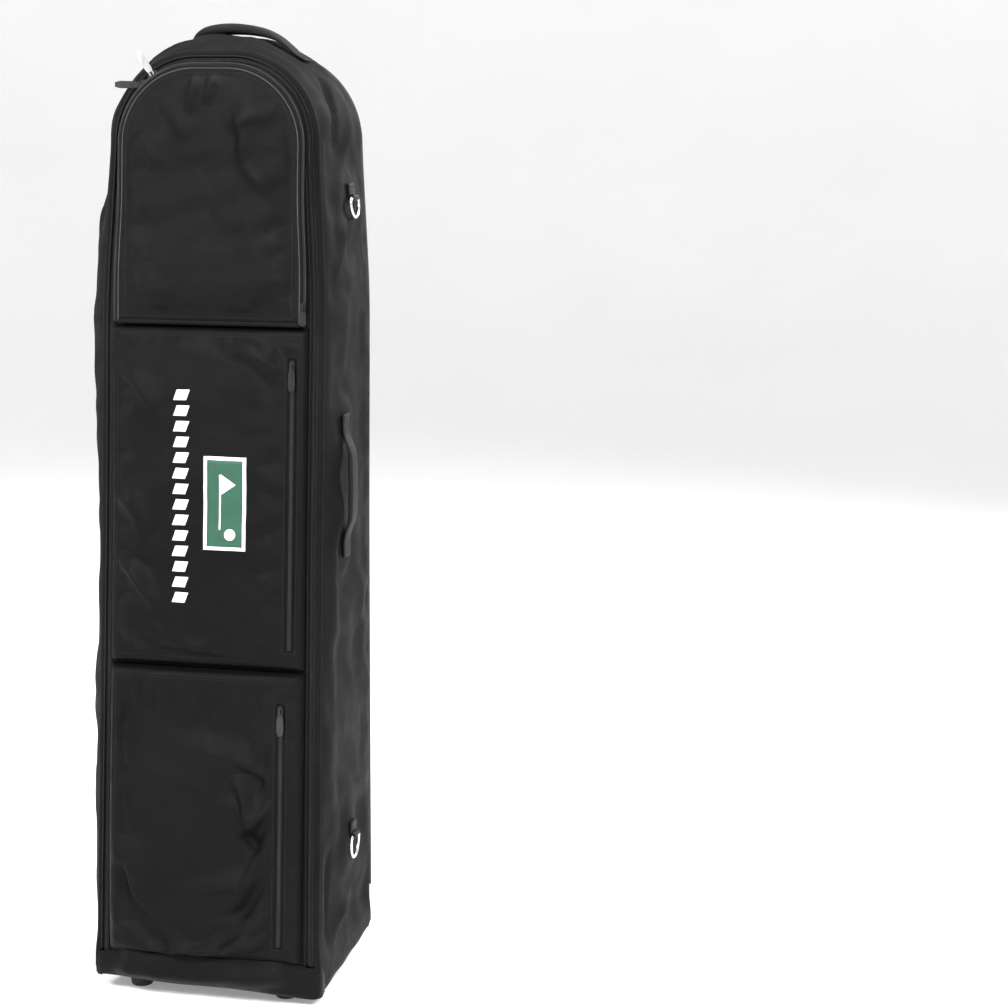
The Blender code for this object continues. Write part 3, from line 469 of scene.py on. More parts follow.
def ripple(u, v, seed, size, detail=3):
    """Smooth seeded noise from a few crossed waves, about -1 to 1."""
    rng = np.random.default_rng(seed)
    total = 0.0
    for level in range(detail):
        for _ in range(4):
            turn, phase = rng.uniform(0, 2 * math.pi, 2)
            k = 2 * math.pi / (size * 0.6 ** level) * rng.uniform(0.7, 1.3)
            total = total + 0.35 * 0.6 ** level * np.sin(k * (u * math.cos(turn) + v * math.sin(turn))
                                                         + phase)
    return total


def front(x, h, z):
    """Row-frame points over the leaning front: h is the height above the lid's face."""
    x, h, z = np.broadcast_arrays(np.asarray(x, float), h, z)
    up = z - HINGE_Z
    return np.stack([x, HINGE_Y + up * SIN - h * COS, HINGE_Z + up * COS + h * SIN], -1)


FRONT_N = np.array([0.0, -COS, SIN])
REARWARD = (0.0, 1.0, 0.0)


def tiled(direction, count):
    return np.tile(direction, (count, 1))


def spaced(low, high, gap, through=(), edge=False):
    """Rising stations with the named ones hit exactly, and close ones at both ends for a rounded rim."""
    marks = [low, *through, high]
    found = []
    for a, b in zip(marks, marks[1:]):
        found += list(np.linspace(a, b, max(2, int(round((b - a) / gap)) + 1))[:-1])
    found.append(high)
    if edge:
        near = [0.0004, 0.0012, 0.0025, 0.0045, 0.007, 0.010]
        found = [s for s in found if s - low > 0.0115 and high - s > 0.0115]
        found = [low] + [low + d for d in near] + found + [high - d for d in near[::-1]] + [high]
    return np.array(sorted(set(found)))


def eased(table, low, high, reach):
    """A reader of (height, value) rows with their corners rounded, still exact at the shoulder."""
    fine = np.arange(low, high, 0.004)
    rows = np.array(table)
    values = np.convolve(np.pad(np.interp(fine, rows[:, 0], rows[:, 1]), reach, mode="edge"),
                         np.ones(2 * reach + 1) / (2 * reach + 1), "valid")
    over = np.interp(SHOULDER_Z, fine, values) - table[-1][1]
    return lambda z: np.interp(z, fine, values) - over * step(np.asarray(z, float), 0.92, SHOULDER_Z)


width_at = eased(SIDE_WIDTHS, 0.02, 1.20, 10)
bulge_at = eased(BULGES, 0.03, 1.10, 8)


def arched_line(low, gap, arc, crown, width, centre_x, centre_z, radius):
    """Straight up, round a shoulder and over a flat crown to the other side: x, z and normal."""
    z = np.arange(low, centre_z, gap)
    turn = np.linspace(0, math.pi / 2, arc)
    x = np.concatenate([width(z), centre_x + radius * np.cos(turn)])
    heights = np.concatenate([z, centre_z + radius * np.sin(turn)])
    nx = np.concatenate([np.ones(len(z)), np.cos(turn)])
    nz = np.concatenate([np.zeros(len(z)), np.sin(turn)])
    mid = np.linspace(centre_x, -centre_x, crown + 2)[1:-1]
    return z, turn, [np.concatenate([right, middle, flip * right[::-1]]) for right, middle, flip in (
        (x, mid, -1), (heights, np.full(crown, heights[-1]), 1), (nx, np.zeros(crown), -1),
        (nz, np.ones(crown), 1))]


def outline(low, gap=0.006, arc=26, crown=6):
    """Points of the case's outline from low right over the crown to low left: x, z, normal, bulge."""
    z, turn, parts = arched_line(low, gap, arc, crown, width_at, SHOULDER_X, SHOULDER_Z, SHOULDER_R)
    shoulder = BULGES[-1][1] + (CROWN_BULGE - BULGES[-1][1]) * turn / (math.pi / 2)
    bulge = np.concatenate([np.minimum(bulge_at(z), 0.0145), shoulder])
    return parts + [np.concatenate([bulge, np.full(crown, CROWN_BULGE), bulge[::-1]])]


def arch_outline(low, gap=0.005, arc=26, crown=5):
    """The same for the upper pocket's zip, which stands out a little further on its straight sides."""
    return arched_line(low, gap, arc, crown, lambda z: ARCH_X + band(z), ARCH_SX, ARCH_SZ,
                       ARCH_R + band(ARCH_SZ))[2]


def band(z):
    """How far the arched zip's middle line stands outside the pocket's outline."""
    return 0.0046 - 0.0042 * step(np.asarray(z, float), 0.90, 1.02)


def arched_rows(low, top_z, centre_z, gap, arc=30):
    """Heights for an arched panel: even up to its shoulder, then closer towards the crown."""
    turn = np.linspace(0, math.pi / 2, arc)
    return np.concatenate([np.arange(low, centre_z - gap * 0.4, gap),
                           centre_z + (top_z - centre_z) * np.sin(turn)])


# ------------------------------------------------------------ side gusset
CALM = [  # attachments that stay put: middle and reach
    ((0.155, 0.030, 1.000), 0.040), ((0.160, 0.012, 0.180), 0.045), ((0.158, -0.016, 0.570), 0.035),
    ((0.158, -0.016, 0.730), 0.035), ((0.085, 0.044, 1.165), 0.035), ((-0.077, 0.044, 1.168), 0.035),
]
gx, gz, gnx, gnz, gb = outline(0.011)
gx = gx + 0.0022 * (1 - step(gz, 0.045, 0.080)) * np.sign(gx)
arc_len = np.concatenate([[0], np.cumsum(np.hypot(np.diff(gx), np.diff(gz)))])


def gusset_points(ts, x, z, nx, nz, bulge):
    back = np.stack([x, np.full_like(x, 0.1322), z], -1)
    edge = front(x, -0.0055, z)
    out = np.stack([nx, np.zeros_like(nx), nz], -1)
    rows = []
    for t in ts:
        if t <= 1.0:
            swell = bulge * (4.0 * t * (1.0 - t)) ** 0.75
            rows.append(back * (1 - t) + edge * t + out * swell[:, None])
        else:
            turn = (t - 1.0) * math.pi / 2
            inset, depth = 0.0055 * (1 - math.cos(turn)), 0.0055 * (1 - math.sin(turn))
            if t > 2.0:
                inset, depth = 0.0055 + (t - 2.0) * 0.003, 0.0
            rows.append(front(x - inset * nx, -depth, z - inset * nz))
    return np.array(rows)


wall_t = np.concatenate([[0, 0.012], np.linspace(0.03, 0.97, 36), [0.985, 1.0]])
lip_t = np.array([1.2, 1.4, 1.6, 1.8, 2.0, 2.4, 3.0])
all_t = np.concatenate([wall_t, lip_t])
flat_gusset = gusset_points(all_t, gx, gz, gnx, gnz, gb)
sx, sz, snx, snz, sb = outline(0.011, 0.0075, 22, 5)
s_arc = np.concatenate([[0], np.cumsum(np.hypot(np.diff(sx), np.diff(sz)))])
sim_t = np.linspace(0, 1, 31)
sim_base = gusset_points(sim_t, sx, sz, snx, snz, sb)
free = np.ones(sim_base.shape[:2], bool)
free[:2] = free[-2:] = False
free[:, (sz < 0.06)] = False
gusset_field = cloth_field(sim_base, free, 0.013, -0.5, cap=0.006, bend=0.6, seed=3)
helper = Surface(s_arc, sim_t, smoothed(gusset_field, 3))
uu, tt = np.meshgrid(arc_len * s_arc[-1] / arc_len[-1], np.minimum(all_t, 1.0))
moved = helper.read(helper.points, uu.ravel(), tt.ravel()).reshape(flat_gusset.shape)
calm = np.ones(flat_gusset.shape[:2])
for centre, reach in CALM:
    calm *= step(np.linalg.norm(flat_gusset - np.array(centre), axis=-1), reach * 0.55, reach * 1.25)
hem = step(tt, 0.0, 0.10) * step(1 - tt, 0.0, 0.10)
out_dir = np.stack([gnx, 0 * gnx, gnz], -1)[None]
swell = 0.0022 * ripple(uu, tt * 0.23, 11, 0.15) + 1.5 * folds(uu, tt * 0.24, (
    (0.45, 0.205, 0.78, 0.190, 0.004, 0.012), (0.95, 0.20, 1.12, 0.11, 0.005, 0.011),
    (0.90, 0.21, 0.99, 0.15, 0.004, 0.008), (1.05, 0.19, 1.16, 0.15, -0.004, 0.008),
    (0.05, 0.19, 0.10, 0.10, 0.004, 0.010), (0.03, 0.20, 0.20, 0.205, -0.003, 0.008),
    (1.30, 0.20, 1.42, 0.12, 0.005, 0.010), (1.50, 0.20, 1.62, 0.14, 0.004, 0.010),
    (1.85, 0.20, 2.15, 0.19, -0.004, 0.014),
))
gusset_pts = (flat_gusset + (moved + out_dir * swell[..., None])
              * (calm * hem * step(gz, 0.045, 0.09)[None])[..., None])
# the empty case slumps outwards along its left side
slump = (np.where(gx < 0, step(gz, 0.035, 0.13) * (1 - 0.75 * step(gz, 0.95, 1.14)), 0.0)
         * step(-gnx, 0.0, 0.9))
slump = slump * (1 + 0.16 * np.sin(gz * 9.0 + 0.6) + 0.05 * np.sin(gz * 23.0))
belly = np.clip(tt, 0, 1) ** 2 * (1 - np.clip(tt, 0, 1)) / 0.148
gusset_pts = gusset_pts + out_dir * (0.0150 * slump[None] * belly)[..., None]
# and stands up in a low hood under the top handle
hood = (1 - step(np.abs(gx + 0.004), 0.030, 0.085)) * (gz > SHOULDER_Z)
gusset_pts[..., 2] += 0.0125 * hood[None] * np.sin(np.clip(tt, 0, 1) * math.pi) ** 0.7
# its hem hangs a little lower in front than behind
low = 1 - step(gz, 0.011, 0.060)
gusset_pts[..., 2] += ((1 - np.clip(tt, 0, 1)) * 0.017 + 0.0010 * np.sin(tt * 21 + gx[None] * 40)) * low[None]
gusset_pts[..., 2] += 0.0070 * low * (gx < 0)
gusset_pts[..., 0] -= np.sign(gx)[None] * 0.0030 * (1 - step(gz, 0.011, 0.024))[None]
gusset = Surface(arc_len, all_t, gusset_pts)
# the gusset wears the side cloth, whose lighter colour is painted light on the sides
gusset_piece = gusset.build("gusset_cloth", "oxford_side_painted_lighter", "case", slot="oxford_cloth",
                            hides=("side_gusset",), thickness=0.0016)


# ------------------------------------------------------------ lid, pockets
def fitted_field(xs, zs, rise, region, grow, pressure, **more):
    """Simulates the sheet over a coarse even grid and returns a reader of how far it moves at (x, z)."""
    cx, cz = spaced(xs[0], xs[-1], SIM_GAP), spaced(zs[0], zs[-1], SIM_GAP)
    grid_x, grid_z = np.meshgrid(cx, cz)
    base = front(grid_x, rise(grid_x, grid_z), grid_z)
    found = cloth_field(base, region(grid_x, grid_z), grow, pressure, **more)
    surface = Surface(cx, cz, smoothed(found, 1))
    return lambda x, z: surface.read(surface.points, np.ravel(x), np.ravel(z)).reshape(*np.shape(x), 3)


def rim(d, r):
    return np.sqrt(np.clip(1 - (1 - np.clip(d / r, 0, 1)) ** 2, 0, 1))


def lower_rise(x, z):
    edge = (rim(x + POCKET_X, 0.012) * rim(POCKET_X - x, 0.010)
            * rim(z - LOWER_Z[0], 0.010) * rim(LOWER_Z[1] - z, 0.008))
    across = np.interp(x, (-POCKET_X, -0.112, -0.08, -0.02, 0.04, 0.09), (0.1, 0.62, 0.96, 1.0, 0.80, 0.0))
    up = np.interp(z, (LOWER_Z[0], 0.075, 0.12, 0.20, 0.28, 0.36, LOWER_Z[1]),
                   (0.12, 0.5, 0.92, 1.0, 0.86, 0.45, 0.0))
    return LOWER_RISE * edge + 0.020 * across * up


def middle_rise(x, z):
    edge = (rim(x + POCKET_X, 0.008) * rim(POCKET_X - x, 0.008)
            * rim(z - MIDDLE_Z[0], 0.008) * rim(MIDDLE_Z[1] - z, 0.007))
    across = np.interp(x, (-POCKET_X, -0.08, 0.05, 0.09), (0.0, 1.0, 1.0, 0.0))
    up = np.interp(z, (MIDDLE_Z[0], 0.50, 0.76, MIDDLE_Z[1]), (0.0, 1.0, 1.0, 0.0))
    return MIDDLE_RISE * edge + 0.003 * across * up


def away(x, z, x0, x1, z0, z1):
    """Distance inside a rectangle from its edges, negative outside."""
    return np.minimum(np.minimum(x - x0, x1 - x), np.minimum(z - z0, z1 - z))


def slot_distance(x, z, zip_x, zip_z):
    return np.maximum(np.abs(x - zip_x) - SLOT_HALF, np.maximum(zip_z[0] - z, z - zip_z[1]))


def pocket(name, mat, rise, zs, zip_x, zip_z, field, creases, rippled, node):
    us = spaced(-POCKET_X, POCKET_X, 0.0027, (zip_x - SLOT_HALF, zip_x + SLOT_HALF), True)
    vs = spaced(zs[0], zs[1], 0.0029, (zip_z[0], zip_z[1]), True)
    us = np.array(sorted(set(us) | {zip_x - SLOT_HALF, zip_x + SLOT_HALF}))
    vs = np.array(sorted(set(vs) | {zip_z[0], zip_z[1]}))
    x, z = np.meshgrid(us, vs)
    inside = away(x, z, -POCKET_X, POCKET_X, *zs)
    by_slot = slot_distance(x, z, zip_x, zip_z)
    quiet = step(inside, 0.0, 0.020) * (0.15 + 0.85 * step(by_slot, 0.0, 0.018))
    points = front(x, rise(x, z), z) + field(x, z) * quiet[..., None]
    extra = (1.9 * folds(x, z, creases) + rippled * ripple(x, z, 5, 0.085)) * quiet
    points = points + FRONT_N * extra[..., None]
    surface = Surface(us, vs, points)
    middle_u, middle_v = (us[:-1] + us[1:]) / 2, (vs[:-1] + vs[1:]) / 2
    mu, mv = np.meshgrid(middle_u, middle_v)
    keep = slot_distance(mu, mv, zip_x, zip_z) > 0
    made = surface.build(name, mat, "lid", keep=keep, thickness=0.0015, hides=(node,), slot=SLOTS[node])
    return surface, made


SLOTS = {"lower_pocket": "oxford_cloth", "middle_pocket": "coated_cloth"}


def pocket_region(zs, zip_x, zip_z):
    """Where a pocket's sheet is free to move: off its seams and off its zip."""
    def region(x, z):
        return (away(x, z, -POCKET_X, POCKET_X, *zs) > 0.006) & (slot_distance(x, z, zip_x, zip_z) > 0.004)
    return region


lower_field = fitted_field((-POCKET_X, POCKET_X), LOWER_Z, lower_rise,
                           pocket_region(LOWER_Z, LOWER_ZIP_X, LOWER_ZIP_Z), 0.065, 0.5, cap=0.015, bend=0.12,
                           gravity=0.5, seed=5)
LOWER_CREASES = (
    (0.036, 0.318, 0.090, 0.288, 0.0040, 0.007), (0.040, 0.296, 0.066, 0.226, 0.0075, 0.009),
    (0.062, 0.222, 0.090, 0.262, 0.0060, 0.007), (0.046, 0.224, 0.078, 0.196, -0.0045, 0.007),
    (0.020, 0.262, 0.052, 0.246, 0.0035, 0.008),
    (-0.060, 0.330, 0.060, 0.315, 0.0025, 0.013), (-0.110, 0.210, -0.080, 0.120, 0.0050, 0.013),
    (-0.020, 0.145, 0.070, 0.165, 0.0035, 0.010), (0.010, 0.115, 0.080, 0.130, -0.0030, 0.010),
    (0.106, 0.375, 0.124, 0.340, 0.0035, 0.006), (0.106, 0.340, 0.124, 0.310, 0.0035, 0.006),
    (0.107, 0.250, 0.124, 0.225, 0.0030, 0.006), (0.107, 0.190, 0.124, 0.170, -0.0030, 0.006),
    (0.030, 0.075, 0.090, 0.085, 0.0040, 0.007), (0.104, 0.085, 0.122, 0.066, 0.0035, 0.006),
)
lower, lower_piece = pocket("lower_pocket_cloth", "oxford", lower_rise, LOWER_Z, LOWER_ZIP_X, LOWER_ZIP_Z,
                            lower_field, LOWER_CREASES, 0.0011, "lower_pocket")
middle_field = fitted_field((-POCKET_X, POCKET_X), MIDDLE_Z, middle_rise,
                            pocket_region(MIDDLE_Z, MIDDLE_ZIP_X, MIDDLE_ZIP_Z), 0.022, 0.5, cap=0.007,
                            bend=0.4, seed=6)
MIDDLE_CREASES = (
    (-0.118, 0.800, -0.060, 0.745, 0.0035, 0.010), (-0.115, 0.560, -0.060, 0.500, 0.0050, 0.008),
    (-0.118, 0.640, -0.070, 0.590, 0.0030, 0.014), (0.112, 0.760, 0.122, 0.700, 0.0020, 0.006),
    (0.112, 0.560, 0.124, 0.520, 0.0025, 0.006), (0.030, 0.820, 0.100, 0.800, 0.0025, 0.010),
    (-0.090, 0.455, 0.060, 0.445, 0.0025, 0.008),
)
middle, middle_piece = pocket("middle_pocket_cloth", "coated", middle_rise, MIDDLE_Z, MIDDLE_ZIP_X,
                              MIDDLE_ZIP_Z, middle_field, MIDDLE_CREASES, 0.0006, "middle_pocket")


def zip_strip(name, x, z0, z1, h, node, body="lid"):
    """Two tapes side by side with the closed coil between them."""
    zs = np.arange(z0 - 0.006, z1 + 0.0061, PITCH)
    path = front(x + 0 * zs, h + 0 * zs, zs)
    normals = tiled(FRONT_N, len(zs))
    tape = Batch()
    for sign in (-1, 1):
        tape.ribbon(path + np.array([sign * 0.0065, 0, 0]), normals, 0.0116, 0.0007)
    tape.build(name + "_tape", "tape", body, slot="zip_tape", hides=(node,))
    coil = Batch()
    inner = (zs > z0 + 0.001) & (zs < z1 - 0.001)
    coil.teeth(path[inner] + FRONT_N * 0.0005, normals[inner], -1, 0.0)
    coil.teeth(path[inner] + FRONT_N * 0.0005, normals[inner], 1, 0.5)
    coil.build(name + "_coil", "coil", body, slot="zip_tape")


zip_strip("lower_zip", LOWER_ZIP_X, *LOWER_ZIP_Z, LOWER_RISE - 0.0030, "lower_pocket_zip")
zip_strip("middle_zip", MIDDLE_ZIP_X, *MIDDLE_ZIP_Z, MIDDLE_RISE - 0.0030, "middle_pocket_zip")


# Lid panel, showing between the pockets and the main zip
def arched_surface(rows, half, cols):
    """Grid over an arched panel, closer towards both sides: x, z and the share across of each column."""
    s = np.linspace(-1, 1, cols)
    s = np.sin(s * math.pi / 2 * 0.92) / math.sin(math.pi / 2 * 0.92)
    x = half(rows)[:, None] * s[None]
    z = np.repeat(rows[:, None], cols, 1)
    return x, z, s


def case_half(inset):
    def half(z):
        z = np.asarray(z, float)
        reach = SHOULDER_R - inset
        over = np.clip(z - SHOULDER_Z, 0, reach)
        return np.where(z <= SHOULDER_Z, width_at(z) - inset,
                        SHOULDER_X + np.sqrt(np.maximum(reach ** 2 - over ** 2, 0)))
    return half


def edge_distance(x, z, half, low, centre_x, centre_z, reach):
    """Roughly how far inside an arched panel a point is."""
    side = half(z) - np.abs(x)
    over = reach - np.hypot(np.maximum(np.abs(x) - centre_x, 0), np.maximum(z - centre_z, 0))
    return np.minimum(np.where(z > centre_z, np.minimum(over, 1.0), side), z - low)


class ArchSurface(Surface):
    """A surface over x and z whose rows follow an arched outline; it is read by x and z."""

    def __init__(self, rows, half, points, flip=False, spread=None):
        self.half = half
        self.spread = spread
        super().__init__(spread, rows, points, flip)

    def at(self, x, z, lift=0.0):
        s = np.asarray(x, float) / np.maximum(self.half(z), 1e-6)
        return super().at(s, z, lift)


rows = arched_rows(HINGE_Z + 0.0015, 1.185 - LID_IN, SHOULDER_Z, 0.0055)
x, z, spread = arched_surface(rows, case_half(LID_IN), 81)
inner_edge = edge_distance(x, z, case_half(LID_IN), rows[0], SHOULDER_X, SHOULDER_Z, SHOULDER_R - LID_IN)
height = (0.0010 * rim(inner_edge, 0.004) + 0.0005 * ripple(x, z, 21, 0.05) * step(inner_edge, 0, 0.02)
          - 0.0010)
lid_cloth = ArchSurface(rows, case_half(LID_IN), front(x, height, z), spread=spread)
lid_piece = lid_cloth.build("lid_cloth", "oxford", "lid", thickness=0.0016, hides=("lid_panel",),
                            slot="oxford_cloth")

# ------------------------------------------------------------ upper pocket
FLAP_H = ARCH_RISE + GAP + 0.0025


ax, az, anx, anz = arch_outline(ARCH_Z + 0.003)


def by_arch(off, h):
    return front(ax + off * anx, h, az + off * anz)


# wall from the lid up to the zip
wall_profile = [(0.0014, -0.0002), (0.0017, 0.002), (0.0018, 0.005), (0.0019, 0.0080), (0.0018, 0.0100),
                (0.0014, 0.0114), (0.0008, 0.0120)]
wall_pts = np.array([by_arch(off, h) for off, h in wall_profile])
along_arch = np.concatenate([[0], np.cumsum(np.linalg.norm(np.diff(wall_pts[0], axis=0), axis=1))])
arch_wall = Surface(along_arch, np.arange(len(wall_profile)), wall_pts)
wall_piece = arch_wall.build("arch_wall_cloth", "oxford", "lid", thickness=CLOTH,
                             hides=("upper_pocket_wall",),
                slot="oxford_cloth")
zip_path, zip_n = resample(by_arch(0.0, 0.0122), PITCH, tiled(FRONT_N, len(ax)))
arch_out = Batch()
arch_out.teeth(zip_path, zip_n, 1, 0.0)
arch_out.build("arch_coil_outer", "coil", "lid", slot="zip_tape")
arch_in = Batch()
arch_in.teeth(zip_path, zip_n, -1, 0.5)
arch_in.build("arch_coil_inner", "coil", "pocket_flap", slot="zip_tape")
pipe("arch_wall_piping", "piping", "lid", by_arch(0.0018, 0.0108), tiled(FRONT_N, len(ax)), 0.0008)

# flap: its rim just inside the coil, puffed up in the middle
f_low = ARCH_Z + 0.0030
f_rows = arched_rows(f_low, ARCH_SZ + ARCH_R + 0.0004, ARCH_SZ, 0.0035, 34)


def flap_half(z):
    z = np.asarray(z, float)
    over = np.clip((z - ARCH_SZ) / (ARCH_R + 0.0004), 0, 1)
    arc = ARCH_SX + (ARCH_R + 0.0004) * np.sqrt(np.maximum(1 - over ** 2, 0))
    return np.where(z <= ARCH_SZ, ARCH_X + band(z) - 0.0004, arc - 0.0004 * (1 - over))


def flap_rise(x, z):
    d = np.maximum(edge_distance(x, z, flap_half, f_low, ARCH_SX, ARCH_SZ, ARCH_R + 0.0004), 0)
    return FLAP_H - 0.0018 + 0.0026 * rim(d, 0.006) + 0.0050 * step(d, 0.0, 0.060)


def flap_region(x, z):
    return edge_distance(x, z, flap_half, f_low, ARCH_SX, ARCH_SZ, ARCH_R + 0.0004) > 0.009


flap_field = fitted_field((-0.121, 0.121), (f_low, 1.167), flap_rise, flap_region, 0.035, 0.5, cap=0.010,
                          bend=0.25, seed=8)
x, z, spread = arched_surface(f_rows, flap_half, 91)
d = np.maximum(edge_distance(x, z, flap_half, f_low, ARCH_SX, ARCH_SZ, ARCH_R + 0.0004), 0)
quiet = step(d, 0.004, 0.022)
FLAP_CREASES = (
    (0.030, 1.085, 0.085, 1.110, 0.0050, 0.009), (0.040, 1.105, 0.052, 1.035, 0.0060, 0.011),
    (0.045, 1.040, 0.085, 1.010, 0.0045, 0.010), (-0.020, 1.160, -0.018, 1.105, 0.0035, 0.006),
    (0.004, 1.160, 0.002, 1.115, 0.0030, 0.005), (-0.090, 1.080, -0.060, 1.040, 0.0030, 0.011),
    (-0.060, 1.120, -0.020, 1.075, 0.0025, 0.010), (-0.100, 0.900, -0.040, 0.870, 0.0030, 0.012),
)
extra = (1.9 * folds(x, z, FLAP_CREASES) + 0.0010 * ripple(x, z, 9, 0.08)) * quiet
flap_pts = front(x, flap_rise(x, z), z) + flap_field(x, z) * quiet[..., None] + FRONT_N * extra[..., None]
flap = ArchSurface(f_rows, flap_half, flap_pts, spread=spread)
flap_piece = flap.build("upper_flap_cloth", "oxford", "pocket_flap", thickness=0.0015,
                        hides=("upper_pocket_flap",), slot="oxford_cloth")
pipe("upper_flap_piping", "piping", "pocket_flap", by_arch(-0.0046, 0.0148), tiled(FRONT_N, len(ax)), 0.0010)
# cloth hinge across the foot of the flap
hx = np.linspace(-ARCH_X + 0.0005, ARCH_X - 0.0005, 60)
strip = np.array([front(hx, h + 0 * hx, zz + 0 * hx) for zz, h in (
    (0.8497, 0.0070), (0.8499, 0.0100), (0.8503, 0.0128), (0.8510, 0.0143), (0.8522, 0.0150),
    (0.8536, 0.0152), (0.8550, 0.0150), (0.8566, 0.0146))])
hinge_piece = piece("flap_hinge_cloth", strip.reshape(-1, 3), grid_faces(8, 60), "oxford", None,
                    thickness=0.0010,
      slot="oxford_cloth", blend=(("lid", "pocket_flap"), (0, -0.0796, 0.8508), (0, -0.0796, 0.8560)))

# ------------------------------------------------------------ main zip
mx, mz, mnx, mnz, _ = outline(0.052, 0.004, 40, 10)


def by_outline(inset, depth):
    return front(mx - inset * mnx, -depth, mz - inset * mnz)


m_normals = tiled(FRONT_N, len(mx))
for label, body, near, far, node in (("case", "case", 0.0060, ZIP_IN - 0.0006, "main_zip_case_tape"),
                                     ("lid", "lid", ZIP_IN + 0.0006, 0.0205, "main_zip_lid_tape")):
    tape = Batch()
    tape.ribbon(by_outline((near + far) / 2, 0.0036), m_normals, far - near, 0.0007)
    tape.build("main_tape_" + label, "tape", body, slot="zip_tape", hides=(node,))
path, normals = resample(by_outline(ZIP_IN, 0.0030), PITCH, m_normals)
for label, body, sign, half in (("case", "case", 1, 0.0), ("lid", "lid", -1, 0.5)):
    coil = Batch()
    coil.teeth(path, normals, sign, half)
    coil.build("main_coil_" + label, "coil", body, slot="zip_tape")
pipe("gusset_lip_binding", "binding", "case", by_outline(0.0078, -0.0002), m_normals, 0.0009)
pipe("lid_edge_binding", "binding", "lid", by_outline(0.0172, -0.0004), m_normals, 0.0009)

# front skirt over the base, joining the case to the lid
CORNER = 0.013
turns = np.linspace(0, math.pi / 2, 12)
front_x = np.linspace(-0.1375, 0.1375, 100)[1:-1]
side_y = np.linspace(-0.080, -0.0955, 8)[:-1]
arc_x, arc_y = 0.1375 + CORNER * np.cos(turns[::-1]), -0.0955 - CORNER * np.sin(turns[::-1])
side_x = np.linspace(0.1486, 0.1505, 7)
plan_x = np.concatenate([-side_x, -arc_x[::-1], front_x, arc_x, side_x[::-1]])
plan_y = np.concatenate([side_y, arc_y[::-1], np.full(98, -0.0955 - CORNER), arc_y, side_y[::-1]])
plan_n = np.concatenate([np.tile([-1.0, 0.0], (7, 1)), np.stack([-np.cos(turns), -np.sin(turns)], 1),
                         np.tile([0.0, -1.0], (98, 1)),
                         np.stack([np.cos(turns[::-1]), -np.sin(turns[::-1])], 1),
                         np.tile([1.0, 0.0], (7, 1))])
along = np.concatenate([[0], np.cumsum(np.hypot(np.diff(plan_x), np.diff(plan_y)))])
from_end = np.minimum(along, along[-1] - along)
ahead = step(from_end, 0.020, 0.080)
skirt_rows = []
for zz, out, full, bag in (  # height, reach at the corners, reach under the pocket, how much it creases
    (0.0115, -0.0040, -0.0040, 0.0), (0.0117, -0.0015, -0.0010, 0.0), (0.0130, 0.0010, 0.0030, 0.3),
    (0.0165, 0.0034, 0.0085, 0.7), (0.0215, 0.0052, 0.0130, 1.0), (0.0275, 0.0064, 0.0165, 1.0),
    (0.0335, 0.0068, 0.0185, 1.0), (0.0395, 0.0064, 0.0195, 1.0), (0.0450, 0.0052, 0.0192, 0.9),
    (0.0495, 0.0034, 0.0180, 0.8), (0.0530, 0.0012, 0.0164, 0.6), (0.0560, -0.0010, 0.0150, 0.5),
    (0.0585, -0.0029, 0.0142, 0.4), (0.0605, -0.0031, 0.0132, 0.2),
):
    under = step(0.1275 - np.abs(plan_x), 0.0, 0.030) * step(0.1262 - np.abs(plan_x), -0.0035, 0.004)
    wave = bag * ahead * (0.0022 * ripple(along, 0 * along + zz * 1.5, 33, 0.080)
                          + 0.0022 * np.sin(zz * 170 + 4.0 * np.sin(along * 11)))
    reach = (out + (full - out) * under + wave) * (0.12 + 0.88 * ahead)
    height = 0.0115 + (zz - 0.0115) * (0.77 + 0.17 * ahead + 0.06 * under)
    height = height + 0.0012 * np.sin(along * 37) * (1 - bag) * (zz < 0.02)
    height = height + (0.0085 * (0.5 - plan_x / 0.30) - 0.0010) * (1 - step(zz, 0.0115, 0.040))
    skirt_rows.append(np.stack([plan_x + plan_n[:, 0] * reach, plan_y + plan_n[:, 1] * reach, height], -1))
skirt_piece = piece("front_skirt_cloth", np.array(skirt_rows).reshape(-1, 3),
                    grid_faces(len(skirt_rows), len(plan_x)), "oxford", None, thickness=CLOTH,
                    slot="oxford_cloth", blend=(("case", "lid"), (0, HINGE_Y, 0.036), (0, HINGE_Y, 0.055)))

# ------------------------------------------------------------ back
b_low = 0.5478
b_rows = arched_rows(b_low, 1.185 - 0.0015, SHOULDER_Z, 0.0045, 34)
b_half = case_half(0.0015)
x, z, spread = arched_surface(b_rows, b_half, 91)


def back_point(x, h, z):
    x, h, z = np.broadcast_arrays(np.asarray(x, float), h, z)
    return np.stack([x, BACK_Y + h, z], -1)


def back_field(cx, cz, rise, free, grow, pressure, **more):
    """Drapes cloth over a grid on the back and returns a reader of how far it moves at (x, z)."""
    grid_x, grid_z = np.meshgrid(cx, cz)
    found = cloth_field(back_point(grid_x, rise, grid_z)[:, ::-1], free[:, ::-1], grow, pressure, **more)
    surface = Surface(cx, cz, smoothed(found[:, ::-1], 1))
    return lambda x, z: surface.read(surface.points, x.ravel(), z.ravel()).reshape(*x.shape, 3)


def back_distance(x, z):
    return np.maximum(edge_distance(x, z, b_half, b_low, SHOULDER_X, SHOULDER_Z, SHOULDER_R - 0.0015), 0)


def back_quiet(x, z):
    """Calm near the rim, behind the slip pocket, and round the identity holder and its ring."""
    rest = step(back_distance(x, z), 0.003, 0.030) * step(z, 0.845, 0.880)
    card = away(x, z, -0.076, 0.068, 1.036, 1.150)
    return rest * step(-card, -0.004, 0.018)


